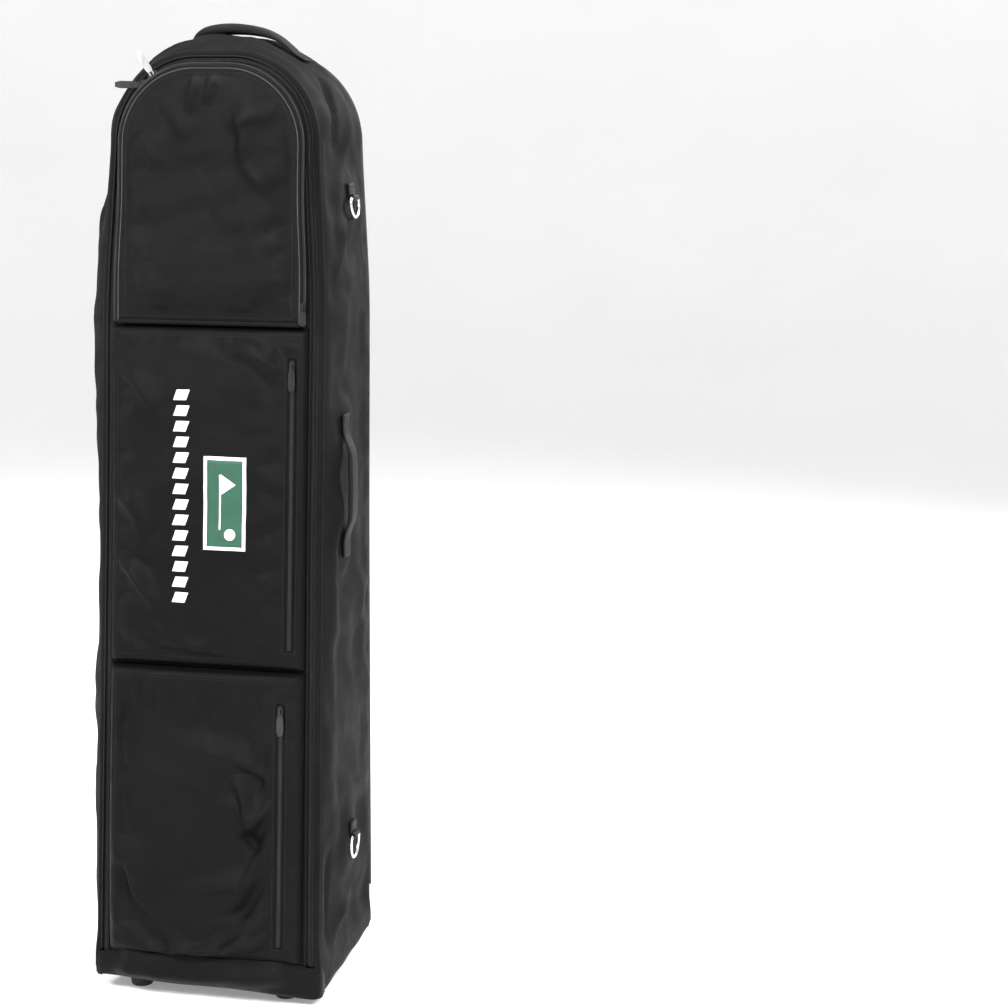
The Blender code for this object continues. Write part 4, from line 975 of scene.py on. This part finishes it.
cx, cz = spaced(-0.143, 0.143, SIM_GAP), spaced(0.84, 1.184, SIM_GAP)
grid_x, grid_z = np.meshgrid(cx, cz)
free = (back_distance(grid_x, grid_z) > 0.009) & (grid_z > 0.85)
free &= away(grid_x, grid_z, -0.073, 0.065, 1.039, 1.140) < 0
moved = back_field(cx, cz, 0.0, free, 0.055, 0.25, cap=0.012, bend=0.12, seed=12)(x, np.maximum(z, 0.84))
BACK_CREASES = (
    (-0.015, 0.985, -0.062, 1.010, 0.0045, 0.007), (-0.016, 0.962, -0.034, 0.930, 0.0045, 0.007),
    (-0.040, 0.955, -0.090, 0.985, 0.0030, 0.009), (0.128, 1.100, 0.090, 1.112, 0.0040, 0.009),
    (0.132, 1.045, 0.085, 1.015, 0.0045, 0.008), (0.060, 0.900, 0.115, 1.000, 0.0040, 0.016),
    (-0.060, 1.120, -0.110, 1.060, 0.0035, 0.011), (0.030, 0.905, -0.060, 0.890, 0.0035, 0.012),
    (-0.125, 0.930, -0.080, 0.885, 0.0030, 0.010), (0.100, 0.880, 0.128, 0.940, -0.0030, 0.010),
)
extra = (1.5 * folds(x, z, BACK_CREASES) + 0.0024 * ripple(x, z, 14, 0.17)) * back_quiet(x, z)
lift = np.clip(moved[..., 1] * 0.8, -0.002, 0.012) * back_quiet(x, z) + extra
lift = np.maximum(lift, -0.0012) + 0.0004 * rim(back_distance(x, z), 0.004) - 0.0002
shift = moved * (back_quiet(x, z) * step(back_distance(x, z), 0.01, 0.03))[..., None]
points = back_point(x + shift[..., 0], lift, z + shift[..., 2])
back_cloth = ArchSurface(b_rows, b_half, points, flip=True, spread=spread)
back_piece = back_cloth.build("back_cloth", "back", "case", thickness=CLOTH, hides=("back_upper_panel",),
                              slot="back_cloth")

# slip pocket with a bound mouth
SLIP_X, SLIP_Z, SLIP_RISE = 0.136, (0.5525, 0.832), 0.0085
us, vs = spaced(-SLIP_X, SLIP_X, 0.0040, (), True), spaced(SLIP_Z[0], SLIP_Z[1], 0.0040)
vs = np.array(sorted(set(list(vs) + [SLIP_Z[0] + d for d in (0.0004, 0.0012, 0.0025, 0.0055)])))
x, z = np.meshgrid(us, vs)


def slip_rise(x, z):
    return SLIP_RISE * rim(x + SLIP_X, 0.007) * rim(SLIP_X - x, 0.007) * rim(z - SLIP_Z[0], 0.007)


cx, cz = spaced(-SLIP_X, SLIP_X, 0.0060), spaced(*SLIP_Z, 0.0060)
grid_x, grid_z = np.meshgrid(cx, cz)
free = away(grid_x, grid_z, -SLIP_X, SLIP_X, SLIP_Z[0], SLIP_Z[1] + 1) > 0.007
free &= grid_z < SLIP_Z[1] - 0.004
moved = back_field(cx, cz, slip_rise(grid_x, grid_z), free, 0.015, 0.3, cap=0.004, bend=0.5, seed=15)(x, z)
SLIP_CREASES = (
    (0.128, 0.790, 0.095, 0.720, 0.0040, 0.009), (0.100, 0.800, 0.020, 0.770, 0.0030, 0.014),
    (-0.120, 0.620, -0.095, 0.720, 0.0030, 0.008), (0.120, 0.600, 0.020, 0.575, 0.0035, 0.008),
    (-0.100, 0.585, -0.020, 0.600, 0.0030, 0.009), (0.060, 0.700, -0.060, 0.660, 0.0025, 0.018),
)
calm = step(away(x, z, -SLIP_X, SLIP_X, SLIP_Z[0], 2.0), 0.0, 0.018) * step(SLIP_Z[1] - z, 0.0, 0.02)
extra = (0.0010 * ripple(x, z, 17, 0.12) + folds(x, z, SLIP_CREASES)) * calm
points = back_point(x, slip_rise(x, z) + np.clip(moved[..., 1], -0.001, 0.003) * calm + extra, z)
slip = Surface(us, vs, points, flip=True)
slip_piece = slip.build("slip_pocket_cloth", "back_pocket", "case", thickness=0.0013,
                        hides=("back_slip_pocket",), slot="back_cloth")
bound = Batch()
mouth, _ = slip.at(np.linspace(-SLIP_X + 0.0008, SLIP_X - 0.0008, 90), np.full(90, SLIP_Z[1] - 0.0005))
bound.sweep(mouth + np.array([0, -0.0006, 0]), np.tile([0, 0, 1.0], (90, 1)), tiled(REARWARD, 90),
            [(-0.0055, 0.0004), (-0.0055, 0.0013), (0.0, 0.0019), (0.0016, 0.0010), (0.0016, -0.0008),
             (0.0, -0.0014), (-0.0055, -0.0012), (-0.0055, -0.0008)])
bound.build("slip_mouth_binding", "back_piping", "case", slot="back_cloth")

# lower back sheet
l_rows = spaced(0.0873, 0.5475, 0.0090)
s = np.sin(np.linspace(-1, 1, 61) * 1.45) / math.sin(1.45)
x = (width_at(l_rows) - 0.0008)[:, None] * s[None]
z = np.repeat(l_rows[:, None], 61, 1)
edge = np.minimum(np.minimum(width_at(z) - np.abs(x), z - 0.0873), 0.5475 - z)
lower_sheet = Surface(s, l_rows, back_point(x, 0.0003 * ripple(x, z, 19, 0.2) * step(edge, 0.0, 0.03)
                                            - 0.0012 * (1 - rim(edge, 0.003)), z), flip=True)
lower_sheet.build("lower_back_sheet", "skid", "case", thickness=0.0020, hides=("back_lower_panel",),
                               slot="skid_plastic")

# piping round the back, and along the seam between its two panels
bx, bz, bnx, bnz, _ = outline(0.087, 0.006, 30, 6)
rim_path = np.stack([bx + 0.0006 * bnx, np.full_like(bx, 0.1328), bz + 0.0006 * bnz], -1)
flange = Batch()
inner = np.stack([bx - 0.0035 * bnx, np.full_like(bx, BACK_Y + 0.0002), bz - 0.0035 * bnz], -1)
flange.ribbon(inner, tiled(REARWARD, len(bx)), 0.0050, 0.0006)
pipe("back_rim_piping", "back_piping", "case", rim_path, tiled(REARWARD, len(bx)), 0.0023, 10, "back_cloth")
flange.build("back_rim_tape", "back", "case", slot="back_cloth")
pipe("back_seam_piping", "back_piping", "case", back_point(np.linspace(-0.1435, 0.1435, 80), 0.0006, 0.5476),
     tiled(REARWARD, 80), 0.0013, slot="back_cloth")

# identity holder: bound frame and its flap band
frame_batch = Batch()
ID_Y = BACK_Y + GAP
wx0, wz0, wx1, wz1 = -0.039, 1.050, 0.054, 1.106


def id_bar(x0, z0, x1, z1, thick):
    """A flat webbing bar with rounded long edges on the back panel."""
    long_x = abs(x1 - x0) > abs(z1 - z0)
    count = 24
    if long_x:
        path = back_point(np.linspace(x0, x1, count), GAP, (z0 + z1) / 2)
        half = abs(z1 - z0) / 2
        side = np.tile([0, 0, 1.0], (count, 1))
    else:
        path = back_point((x0 + x1) / 2, GAP, np.linspace(z0, z1, count))
        half = abs(x1 - x0) / 2
        side = np.tile([1.0, 0, 0], (count, 1))
    up = tiled(REARWARD, count)
    r = 0.0006
    frame_batch.sweep(path, side, up, [(-half, 0), (-half, thick - r), (-half + r, thick), (half - r, thick),
                                       (half, thick - r), (half, 0)])


id_bar(-0.0700, 1.042, -0.0415, 1.116, 0.0016)
id_bar(-0.0410, 1.042, wx0, 1.116, 0.0018)
id_bar(wx1, 1.042, 0.062, 1.116, 0.0018)
id_bar(wx0 + 0.0001, wz1, wx1 - 0.0001, 1.116, 0.0018)
id_bar(wx0 + 0.0001, 1.042, wx1 - 0.0001, wz0, 0.0018)
frame_batch.build("id_holder_frame", "back_piping", "case", slot="webbing", hides=("id_holder",))

# ------------------------------------------------------------ stitching
front_thread, back_thread, case_thread, flap_thread = Batch(), Batch(), Batch(), Batch()


def sew(batch, surface, u, v, lift=0.0002, **more):
    points, normals = surface.at(u, v, lift)
    batch.stitches(points, normals, **more)


for zip_x, zip_z, surface in ((LOWER_ZIP_X, LOWER_ZIP_Z, lower), (MIDDLE_ZIP_X, MIDDLE_ZIP_Z, middle)):
    zs = np.linspace(zip_z[0] - 0.002, zip_z[1] + 0.002, 120)
    for off in (-0.0085, 0.0085):
        sew(front_thread, surface, np.full(120, zip_x + off), zs)
for surface, zs in ((lower, LOWER_Z), (middle, MIDDLE_Z)):
    across = np.linspace(-POCKET_X + 0.012, POCKET_X - 0.012, 120)
    for off in (0.0085, 0.0115):
        sew(front_thread, surface, across, np.full(120, zs[1] - off))
    sew(front_thread, surface, across * 0.72 - 0.026, np.full(120, zs[0] + 0.012))
    up = np.linspace(zs[0] + 0.014, zs[1] - 0.014, 140)
    sew(front_thread, surface, np.full(140, -POCKET_X + 0.0105), up)
inset = 0.0095
quarter = np.linspace(0, math.pi / 2, 60)
hx_path = np.concatenate([np.full(80, ARCH_X - inset), ARCH_SX + (ARCH_R - inset) * np.cos(quarter)])
hz_path = np.concatenate([np.linspace(f_low + 0.004, ARCH_SZ, 80),
                          ARCH_SZ + (ARCH_R - inset) * np.sin(quarter)])
full_x = np.concatenate([hx_path, np.linspace(ARCH_SX, -ARCH_SX, 20), -hx_path[::-1]])
full_z = np.concatenate([hz_path, np.full(20, hz_path[-1]), hz_path[::-1]])
sew(flap_thread, flap, full_x, full_z)
sew(flap_thread, flap, np.linspace(-ARCH_X + 0.01, ARCH_X - 0.01, 120), np.full(120, f_low + 0.006))
seam_u = np.linspace(arc_len[0] + 0.03, arc_len[-1] - 0.03, 500)
sew(case_thread, gusset, seam_u, np.full(500, 1.0))
sew(case_thread, gusset, seam_u, np.full(500, 0.030))
case_thread.stitches(inner + np.array([0, 0.0007, 0]), tiled(REARWARD, len(bx)))
sew(back_thread, slip, np.linspace(-SLIP_X + 0.009, SLIP_X - 0.009, 100), np.full(100, SLIP_Z[0] + 0.009))
for sign in (-1, 1):
    sew(back_thread, slip, np.full(100, sign * (SLIP_X - 0.009)),
        np.linspace(SLIP_Z[0] + 0.01, SLIP_Z[1] - 0.007, 100))
    edge_z = np.linspace(0.095, 0.540, 100)
    edge_x = sign * (width_at(edge_z) - 0.010)
    back_thread.stitches(back_point(edge_x, 0.0003, edge_z), tiled(REARWARD, 100))
for zz in (0.0945, 0.5405):
    back_thread.stitches(back_point(np.linspace(-0.134, 0.134, 100), 0.0003, zz), tiled(REARWARD, 100))
for x0, z0, x1, z1 in ((-0.068, 1.0435, 0.060, 1.0435), (-0.068, 1.1145, 0.060, 1.1145),
                       (0.0605, 1.045, 0.0605, 1.113), (-0.0685, 1.045, -0.0685, 1.113),
                       (-0.043, 1.045, -0.043, 1.113)):
    line = back_point(np.linspace(x0, x1, 30), GAP + 0.0019, np.linspace(z0, z1, 30))
    back_thread.stitches(line, tiled(REARWARD, 30), 0.0018, 0.0010, 0.00025)
front_thread.build("lid_stitching", "thread", "lid", slot="oxford_cloth")
flap_stitching = flap_thread.build("flap_stitching", "thread", "pocket_flap", slot="oxford_cloth")
for puffed in (flap_piece, flap_stitching):  # each gets a mesh of its own
    front(0.0, 0.0122, 0.95)
    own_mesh(puffed)
case_thread.build("case_stitching", "thread", "case", slot="oxford_cloth")
back_thread.build("back_stitching", "back_thread", "case", slot="back_cloth")


# ------------------------------------------------------------ handles
def smooth_line(points, count):
    """Catmull-Rom through the points."""
    p = np.array(points, float)
    p = np.concatenate([[2 * p[0] - p[1]], p, [2 * p[-1] - p[-2]]])
    found = []
    pieces = len(p) - 3
    for t in np.linspace(0, pieces, count):
        i = min(int(t), pieces - 1)
        f = t - i
        a, b, c, d = p[i:i + 4]
        found.append(0.5 * (2 * b + (c - a) * f + (2 * a - 5 * b + 4 * c - d) * f ** 2
                            + (3 * b - a - 3 * c + d) * f ** 3))
    return np.array(found)


def strap(name, rows, hides, count=120):
    """Webbing from rows of (point, thickness, width), its width along y."""
    line = smooth_line([(*p, t, w) for p, t, w in rows], count)
    path, thick, wide = line[:, :3], line[:, 3], line[:, 4]
    along = unit(np.gradient(path, axis=0))
    side = tiled(REARWARD, count)
    up = unit(np.cross(along, side))
    angles = np.linspace(0, 2 * math.pi, 20, endpoint=False)
    across = np.abs(np.cos(angles)) ** 0.35 * np.sign(np.cos(angles))
    upward = np.abs(np.sin(angles)) ** 0.6 * np.sign(np.sin(angles))
    rings = (path[:, None] + side[:, None] * (across[None, :, None] * wide[:, None, None] / 2)
             + up[:, None] * (upward[None, :, None] * thick[:, None, None] / 2))
    batch = Batch()
    faces = []
    for i in range(count - 1):
        for j in range(20):
            m = (j + 1) % 20
            faces.append((i * 20 + j, i * 20 + m, (i + 1) * 20 + m, (i + 1) * 20 + j))
    faces += [tuple(range(20))[::-1], tuple((count - 1) * 20 + j for j in range(20))]
    batch.add(rings, faces)
    return batch.build(name, "webbing", "case", hides=hides, slot="webbing"), path, up, side


def shoulder_top(x):
    dx = max(abs(x) - SHOULDER_X, 0.0)
    turn = math.asin(min(dx / (SHOULDER_R + CROWN_BULGE), 1.0))
    bulge = CROWN_BULGE + (BULGES[-1][1] - CROWN_BULGE) * turn / (0.5 * math.pi)
    return SHOULDER_Z + math.sqrt((SHOULDER_R + bulge) ** 2 - dx ** 2)


top_rows = (
    ((0.092, 0.044, shoulder_top(0.092) + 0.0030), 0.0026, 0.034),
    ((0.078, 0.044, shoulder_top(0.078) + 0.0032), 0.0026, 0.034), ((0.066, 0.044, 1.1925), 0.0040, 0.034),
    ((0.050, 0.044, 1.2025), 0.0075, 0.036), ((0.030, 0.044, 1.2090), 0.0115, 0.040),
    ((0.008, 0.044, 1.2122), 0.0130, 0.042), ((-0.014, 0.044, 1.2124), 0.0130, 0.042),
    ((-0.034, 0.044, 1.2100), 0.0115, 0.040), ((-0.047, 0.044, 1.2045), 0.0080, 0.036),
    ((-0.0535, 0.044, 1.1970), 0.0050, 0.034), ((-0.0580, 0.044, 1.1915), 0.0040, 0.034),
    ((-0.070, 0.044, shoulder_top(-0.070) + 0.0042), 0.0026, 0.034),
    ((-0.084, 0.044, shoulder_top(-0.084) + 0.0040), 0.0026, 0.034),
)
top_handle, top_path, top_up, top_side = strap("top_handle_grip", top_rows, ("top_handle",))


def side_surface(y, z):
    front_y = float(front(0.0, -0.006, z)[..., 1])
    t = (0.128 - y) / (0.128 - front_y)
    rows = np.array(SIDE_WIDTHS)
    return float(np.interp(z, rows[:, 0], rows[:, 1])
                 + np.interp(z, *np.array(BULGES).T) * (4 * t * (1 - t)) ** 0.75)


side_rows = []
for zz, off, thick, wide in (
    (0.560, 0.0022, 0.003, 0.025), (0.580, 0.0022, 0.003, 0.025), (0.594, 0.0056, 0.0034, 0.025),
    (0.610, 0.0102, 0.006, 0.026), (0.632, 0.0109, 0.0066, 0.027), (0.650, 0.0112, 0.0066, 0.027),
    (0.668, 0.0109, 0.0066, 0.027), (0.690, 0.0102, 0.006, 0.026), (0.706, 0.0056, 0.0034, 0.025),
    (0.720, 0.0022, 0.003, 0.025), (0.740, 0.0022, 0.003, 0.025),
):
    side_rows.append(((side_surface(-0.016, zz) + off, -0.016, zz), thick, wide))
side_handle, side_path, side_up, side_side = strap("side_handle_grip", side_rows, ("side_handle",))
handle_thread = Batch()
for path, up, side, half, thick in ((top_path, top_up, top_side, 0.0145, 0.0019),
                                    (side_path, side_up, side_side, 0.0105, 0.0020)):
    if np.mean(up[:, 2] + up[:, 0]) < 0:
        up = -up
    for first, last in ((2, 17), (103, 118)):
        seg, seg_up = path[first:last], up[first:last]
        for sign in (-1, 1):
            handle_thread.stitches(seg + side[first:last] * sign * half + seg_up * thick, seg_up, 0.0022,
                                   0.0011)
        for k in (0, -1):
            bar = np.array([seg[k] + side[first] * o + seg_up[k] * thick
                            for o in np.linspace(-half, half, 12)])
            handle_thread.stitches(bar, np.tile(seg_up[k], (12, 1)), 0.0022, 0.0011)
        count = len(seg)
        for sign in (-1, 1):
            spread = (np.linspace(-half, half, count) * sign)[:, None]
            cross = seg + side[first:last] * spread + seg_up * thick
            handle_thread.stitches(cross, seg_up, 0.0022, 0.0011)
handle_thread.build("handle_stitching", "thread", "case", slot="webbing")

# ------------------------------------------------------------ rings and loops
WIRE_R = 0.00225
BAR_OUT = WIRE_R + 0.0004 + 0.0014


def ring_and_loop(ring_name, loop_name, body, half_width, height, ring_place, loop_place, loop_half):
    corner = 0.005
    line = [(-half_width + corner + (half_width - corner) * 0.25 * i, 0.0, 0.0) for i in range(8)]
    for i in range(41):
        turn = math.pi * i / 40
        line.append((half_width * math.cos(turn), 0.0,
                     -(math.sin(turn) ** 0.8 * (height - corner * 0.6) + corner * 0.6)))
    line = np.array(line)
    for _ in range(2):
        line = (np.roll(line, 1, 0) + 6 * line + np.roll(line, -1, 0)) / 8
    place = np.array(ring_place)
    line = line @ place[:3, :3].T + place[:3, 3]
    along = unit(np.roll(line, -1, 0) - np.roll(line, 1, 0))
    side = np.tile(place[:3, :3] @ np.array([0, 1.0, 0]), (len(line), 1))
    up = unit(np.cross(along, side))
    turns = np.arange(14) * 2 * math.pi / 14
    ring = Batch()
    ring.sweep(line, side, up, np.stack([np.cos(turns), np.sin(turns)], 1) * WIRE_R, closed=True)
    ring.build(ring_name + "_wire", "nickel", body, hides=(ring_name,), slot="nickel")
    hole, thick = WIRE_R + 0.0003, 0.0013
    place = np.array(loop_place)
    batch = Batch()
    strap_line = [(-(hole + thick / 2) + 0.0010, 0.0182), (-(hole + thick / 2) + 0.0009, 0.0050)]
    for k in range(15):
        turn = math.radians(130 - 20 * k)
        strap_line.append((math.cos(turn) * (hole + thick / 2), math.sin(turn) * (hole + thick / 2)))
    strap_line += [(-(hole + thick / 2), 0.0030), (-(hole + thick / 2), 0.0182)]
    pts = smooth_line([(0.0, y, z) for y, z in strap_line], 70)
    world = pts @ place[:3, :3].T + place[:3, 3]
    along = unit(np.gradient(world, axis=0))
    across = np.tile(place[:3, 0], (len(world), 1))
    normal = unit(np.cross(along, across))
    w, t = loop_half, thick / 2
    batch.sweep(world, across, normal, [(-w, -t * 0.6), (-w * 0.96, -t), (w * 0.96, -t), (w, -t * 0.6),
                                        (w, t * 0.6), (w * 0.96, t), (-w * 0.96, t), (-w, t * 0.6)])
    batch.build(loop_name + "_webbing", "webbing", "case", hides=(loop_name,), slot="webbing")
    thread = Batch()
    out = -(hole + thick) + 0.0034
    for zz in (0.0075, 0.0150):
        bar = np.array([(o, out, zz) for o in np.linspace(-loop_half + 0.002, loop_half - 0.002, 14)])
        thread.stitches(bar @ place[:3, :3].T + place[:3, 3], np.tile(place[:3, 1], (14, 1)), 0.0020, 0.0010)
    thread.build(loop_name + "_stitching", "thread", "case", slot="webbing")


back_place = Matrix.Translation((-0.0045, ID_Y + BAR_OUT, 1.1235))
ring_and_loop("back_d_ring", "back_ring_loop", "ring_back", 0.026, 0.0335, back_place, back_place, 0.019)
for which, y, zz, height in (("upper", 0.030, 1.006, 0.024), ("lower", 0.012, 0.192, 0.030)):
    drop = 0.030
    top = Vector((side_surface(y, zz) + GAP + BAR_OUT, y, zz))
    low = Vector((max(side_surface(y, zz - drop) + GAP + BAR_OUT, top.x - 0.001), y, zz - drop))
    tilt = math.atan2(low.x - top.x, drop)
    base_turn = Matrix.Rotation(math.radians(-90), 4, "Z")
    loop_tilt = math.atan2(side_surface(y, zz - 0.001) - side_surface(y, zz + 0.018), 0.019)
    ring_and_loop(which + "_side_ring", which + "_side_loop", "ring_" + which, 0.0175, height,
                  Matrix.Translation(top) @ Matrix.Rotation(-tilt, 4, "Y") @ base_turn,
                  Matrix.Translation(top) @ Matrix.Rotation(-loop_tilt, 4, "Y") @ base_turn, 0.0115)

# ------------------------------------------------------------ emblem: dashes and a badge with pin and ball
emblem_white, emblem_green = Batch(), Batch()


def patch(batch, lines, cols, lift, thick=0.0004):
    """A thin printed shape laid on the middle pocket from lines of (height, left edge, right edge)."""
    rows = []
    for v, u0, u1 in lines:
        rows.append(middle.at(np.linspace(u0, u1, cols), np.full(cols, v), lift))
    top = np.array([p + n * thick for p, n in rows])
    count = len(rows)
    low = np.array([p for p, n in rows])
    verts = np.concatenate([top.reshape(-1, 3), low.reshape(-1, 3)])
    faces = grid_faces(count, cols)
    base = count * cols
    faces += [tuple(k + base for k in face[::-1]) for face in grid_faces(count, cols)]
    border = ([j for j in range(cols)] + [i * cols + cols - 1 for i in range(1, count)]
              + [(count - 1) * cols + j for j in range(cols - 2, -1, -1)]
              + [i * cols for i in range(count - 2, 0, -1)])
    for a, b in zip(border, border[1:] + border[:1]):
        faces.append((b, a, a + base, b + base))
    batch.add(verts, faces)


def bar_rows(z0, z1, x0, x1, gap=0.004):
    return [(v, x0, x1) for v in np.linspace(z0, z1, max(3, int((z1 - z0) / gap)))]


for k in range(14):  # a vertical row of slanted dashes
    low, high = 0.508 + 0.0192 * k, 0.508 + 0.0192 * k + 0.0128
    patch(emblem_white, [(v, -0.0400 + (v - low) * 0.35, -0.0235 + (v - low) * 0.35)
                         for v in np.linspace(low, high, 4)], 5, 0.0003)
PATCH = (0.000, 0.575, 0.054, 0.690)
patch(emblem_white, bar_rows(PATCH[1], PATCH[3], PATCH[0], PATCH[2]), 13, 0.0003)
patch(emblem_green, bar_rows(PATCH[1] + 0.0045, PATCH[3] - 0.0045, PATCH[0] + 0.0045, PATCH[2] - 0.0045), 13,
      0.0008, 0.0003)
patch(emblem_white, bar_rows(0.600, 0.668, 0.0200, 0.0222, gap=0.006), 3, 0.0012, 0.0003)
pennant = [(v, 0.0222, 0.0222 + 0.019 * (1 - abs(v - 0.656) / 0.0125))
           for v in np.linspace(0.6436, 0.6684, 13)]
patch(emblem_white, pennant, 5, 0.0012, 0.0003)
ball = []
for turn in np.linspace(-math.pi / 2 + 0.12, math.pi / 2 - 0.12, 15):
    ball.append((0.5945 + 0.0070 * math.sin(turn), 0.034 - 0.0070 * math.cos(turn),
                 0.034 + 0.0070 * math.cos(turn)))
patch(emblem_white, ball, 7, 0.0012, 0.0003)
emblem_white.build("emblem_white", "white_print", "lid", slot="oxford_cloth")
emblem_green.build("emblem_green", "green_print", "lid", slot="oxford_cloth")

# ------------------------------------------------------------ finishes of the carried-over CAD pieces
FINISH = {
    "base_tray": "base", "foot_": "rubber", "foot_screw": "steel", "housing_screw": "rivet",
    "wheel_bracket": "nickel", "wheel_axle": "steel", "tyre_": "urethane", "hub_": "nylon",
    "skid_rail": "rail", "rail_cap": "cap", "rail_rivet": "rivet", "back_board": "board",
    "id_window": "vinyl", "id_card": "card", "main_slider": "gunmetal", "main_pull_a": "gunmetal",
    "main_pull_b": "nickel", "lower_slider": "gunmetal", "middle_slider": "gunmetal",
    "upper_slider": "gunmetal", "lower_pull": "gunmetal", "middle_pull": "gunmetal", "upper_pull": "gunmetal",
}
ROUNDED = {  # radius of the edges
    "base_tray": 0.0012, "skid_rail": 0.0010, "rail_cap": 0.0012, "foot_": 0.0006, "main_slider": 0.0006,
    "lower_slider": 0.0006, "middle_slider": 0.0006, "upper_slider": 0.0006, "main_pull": 0.0003,
    "lower_pull": 0.0003, "middle_pull": 0.0003, "upper_pull": 0.0003, "wheel_bracket": 0.0003,
    "rail_rivet": 0.0003, "housing_screw": 0.0003,
}
for name, made in NODES.items():
    if made.hide_render:
        continue
    keys = [key for key in FINISH if name.startswith(key)]
    key = max(keys, key=len)
    made.data.materials.clear()
    made.data.materials.append(MATS[FINISH[key]])
    rounds = [key for key in ROUNDED if name.startswith(key)]
    if rounds:
        bevel = made.modifiers.new("rounding", "BEVEL")
        bevel.width = ROUNDED[max(rounds, key=len)]
        bevel.segments = 2
        bevel.limit_method = "ANGLE"
        bevel.angle_limit = math.radians(35)
        bevel.harden_normals = False

# ------------------------------------------------------------ stage, light and camera
FLOOR_WHITE, GLOW, SKY = 0.86, 0.22, 0.35
FLOOR_RINGS = ((0.0, 0.0), (0.6, 0.0), (2.0, 0.0), (4.0, 0.0), (6.0, 0.0), (7.4, 0.25), (8.4, 1.0),
               (8.8, 2.2), (8.9, 5.0))  # radius and height
AROUND = 48


def stage_mesh(name, verts, faces, colour, rough):
    mesh = bpy.data.meshes.new(name)
    mesh.from_pydata(verts, [], faces)
    made = bpy.data.objects.new(name, mesh)
    bpy.context.scene.collection.objects.link(made)
    mat, tree, shader, where = nodes_of(name, colour, rough)
    lighter = tuple(min(1.0, c * 1.03) for c in colour)
    tree.links.new(mix_colours(tree, ramp(tree, noise(tree, where, 2.0), 0, 1), colour, lighter),
                   shader.inputs["Base Color"])
    shader.inputs["Emission Color"].default_value = (1.0, 1.0, 1.0, 1.0)
    shader.inputs["Emission Strength"].default_value = GLOW
    mesh.materials.append(mat)
    mesh.shade_smooth()


verts = [(radius * math.cos(a), radius * math.sin(a), height) for radius, height in FLOOR_RINGS
         for a in np.linspace(0, 2 * math.pi, AROUND + 1)[:-1]]
faces = [(i * AROUND + j, i * AROUND + (j + 1) % AROUND, (i + 1) * AROUND + (j + 1) % AROUND,
          (i + 1) * AROUND + j)
         for i in range(len(FLOOR_RINGS) - 1) for j in range(AROUND)]
stage_mesh("floor", verts, faces, (FLOOR_WHITE,) * 3, 0.9)

world = bpy.data.worlds.new("studio")
bpy.context.scene.world = world
world.use_nodes = True
world.node_tree.nodes["Background"].inputs["Color"].default_value = (1.0, 1.0, 1.0, 1.0)
world.node_tree.nodes["Background"].inputs["Strength"].default_value = SKY


def area(name, place, target, size, power):
    light = bpy.data.lights.new(name, "AREA")
    light.shape = "RECTANGLE"
    light.size, light.size_y = size
    light.energy = power
    made = bpy.data.objects.new(name, light)
    bpy.context.scene.collection.objects.link(made)
    made.location = place
    made.rotation_mode = "QUATERNION"
    made.rotation_quaternion = (Vector(target) - Vector(place)).to_track_quat("-Z", "Y")


area("key", (1.7, -2.6, 2.6), (0, 0, 0.75), (1.0, 1.0), 150.0)
area("fill", (-1.9, -2.1, 2.6), (0, 0, 0.75), (0.8, 0.8), 110.0)
area("top", (0.0, 0.2, 3.4), (0, 0, 0.6), (2.2, 2.2), 80.0)
area("rear", (1.9, 2.6, 2.3), (0, 0, 0.7), (1.0, 1.0), 110.0)

AZ, EL, ROLL, DISTANCE, FOCAL, FRAME_PX = 18.93, 8.83, 0.60, 3.0, 2328.6, 1008.0
camera = bpy.data.cameras.new("camera")
camera.sensor_width = 36.0
camera.lens = FOCAL / FRAME_PX * 36.0
viewer = bpy.data.objects.new("camera", camera)
bpy.context.scene.collection.objects.link(viewer)
bpy.context.scene.camera = viewer
azimuth, elevation = math.radians(AZ), math.radians(EL)
target = Vector((0.0, 0.014, 0.6))
back_dir = Vector((math.sin(azimuth) * math.cos(elevation), -math.cos(azimuth) * math.cos(elevation),
                   math.sin(elevation)))
viewer.location = target + back_dir * DISTANCE
right = Vector((math.cos(azimuth), math.sin(azimuth), 0.0))
aim = target + right * 0.3480 + Vector((0, 0, 0.0128))
look = (aim - viewer.location).to_track_quat("-Z", "Y")
viewer.rotation_mode = "QUATERNION"
viewer.rotation_quaternion = look @ Matrix.Rotation(math.radians(ROLL), 4, "Z").to_quaternion()
bpy.context.scene.view_settings.view_transform = "Standard"
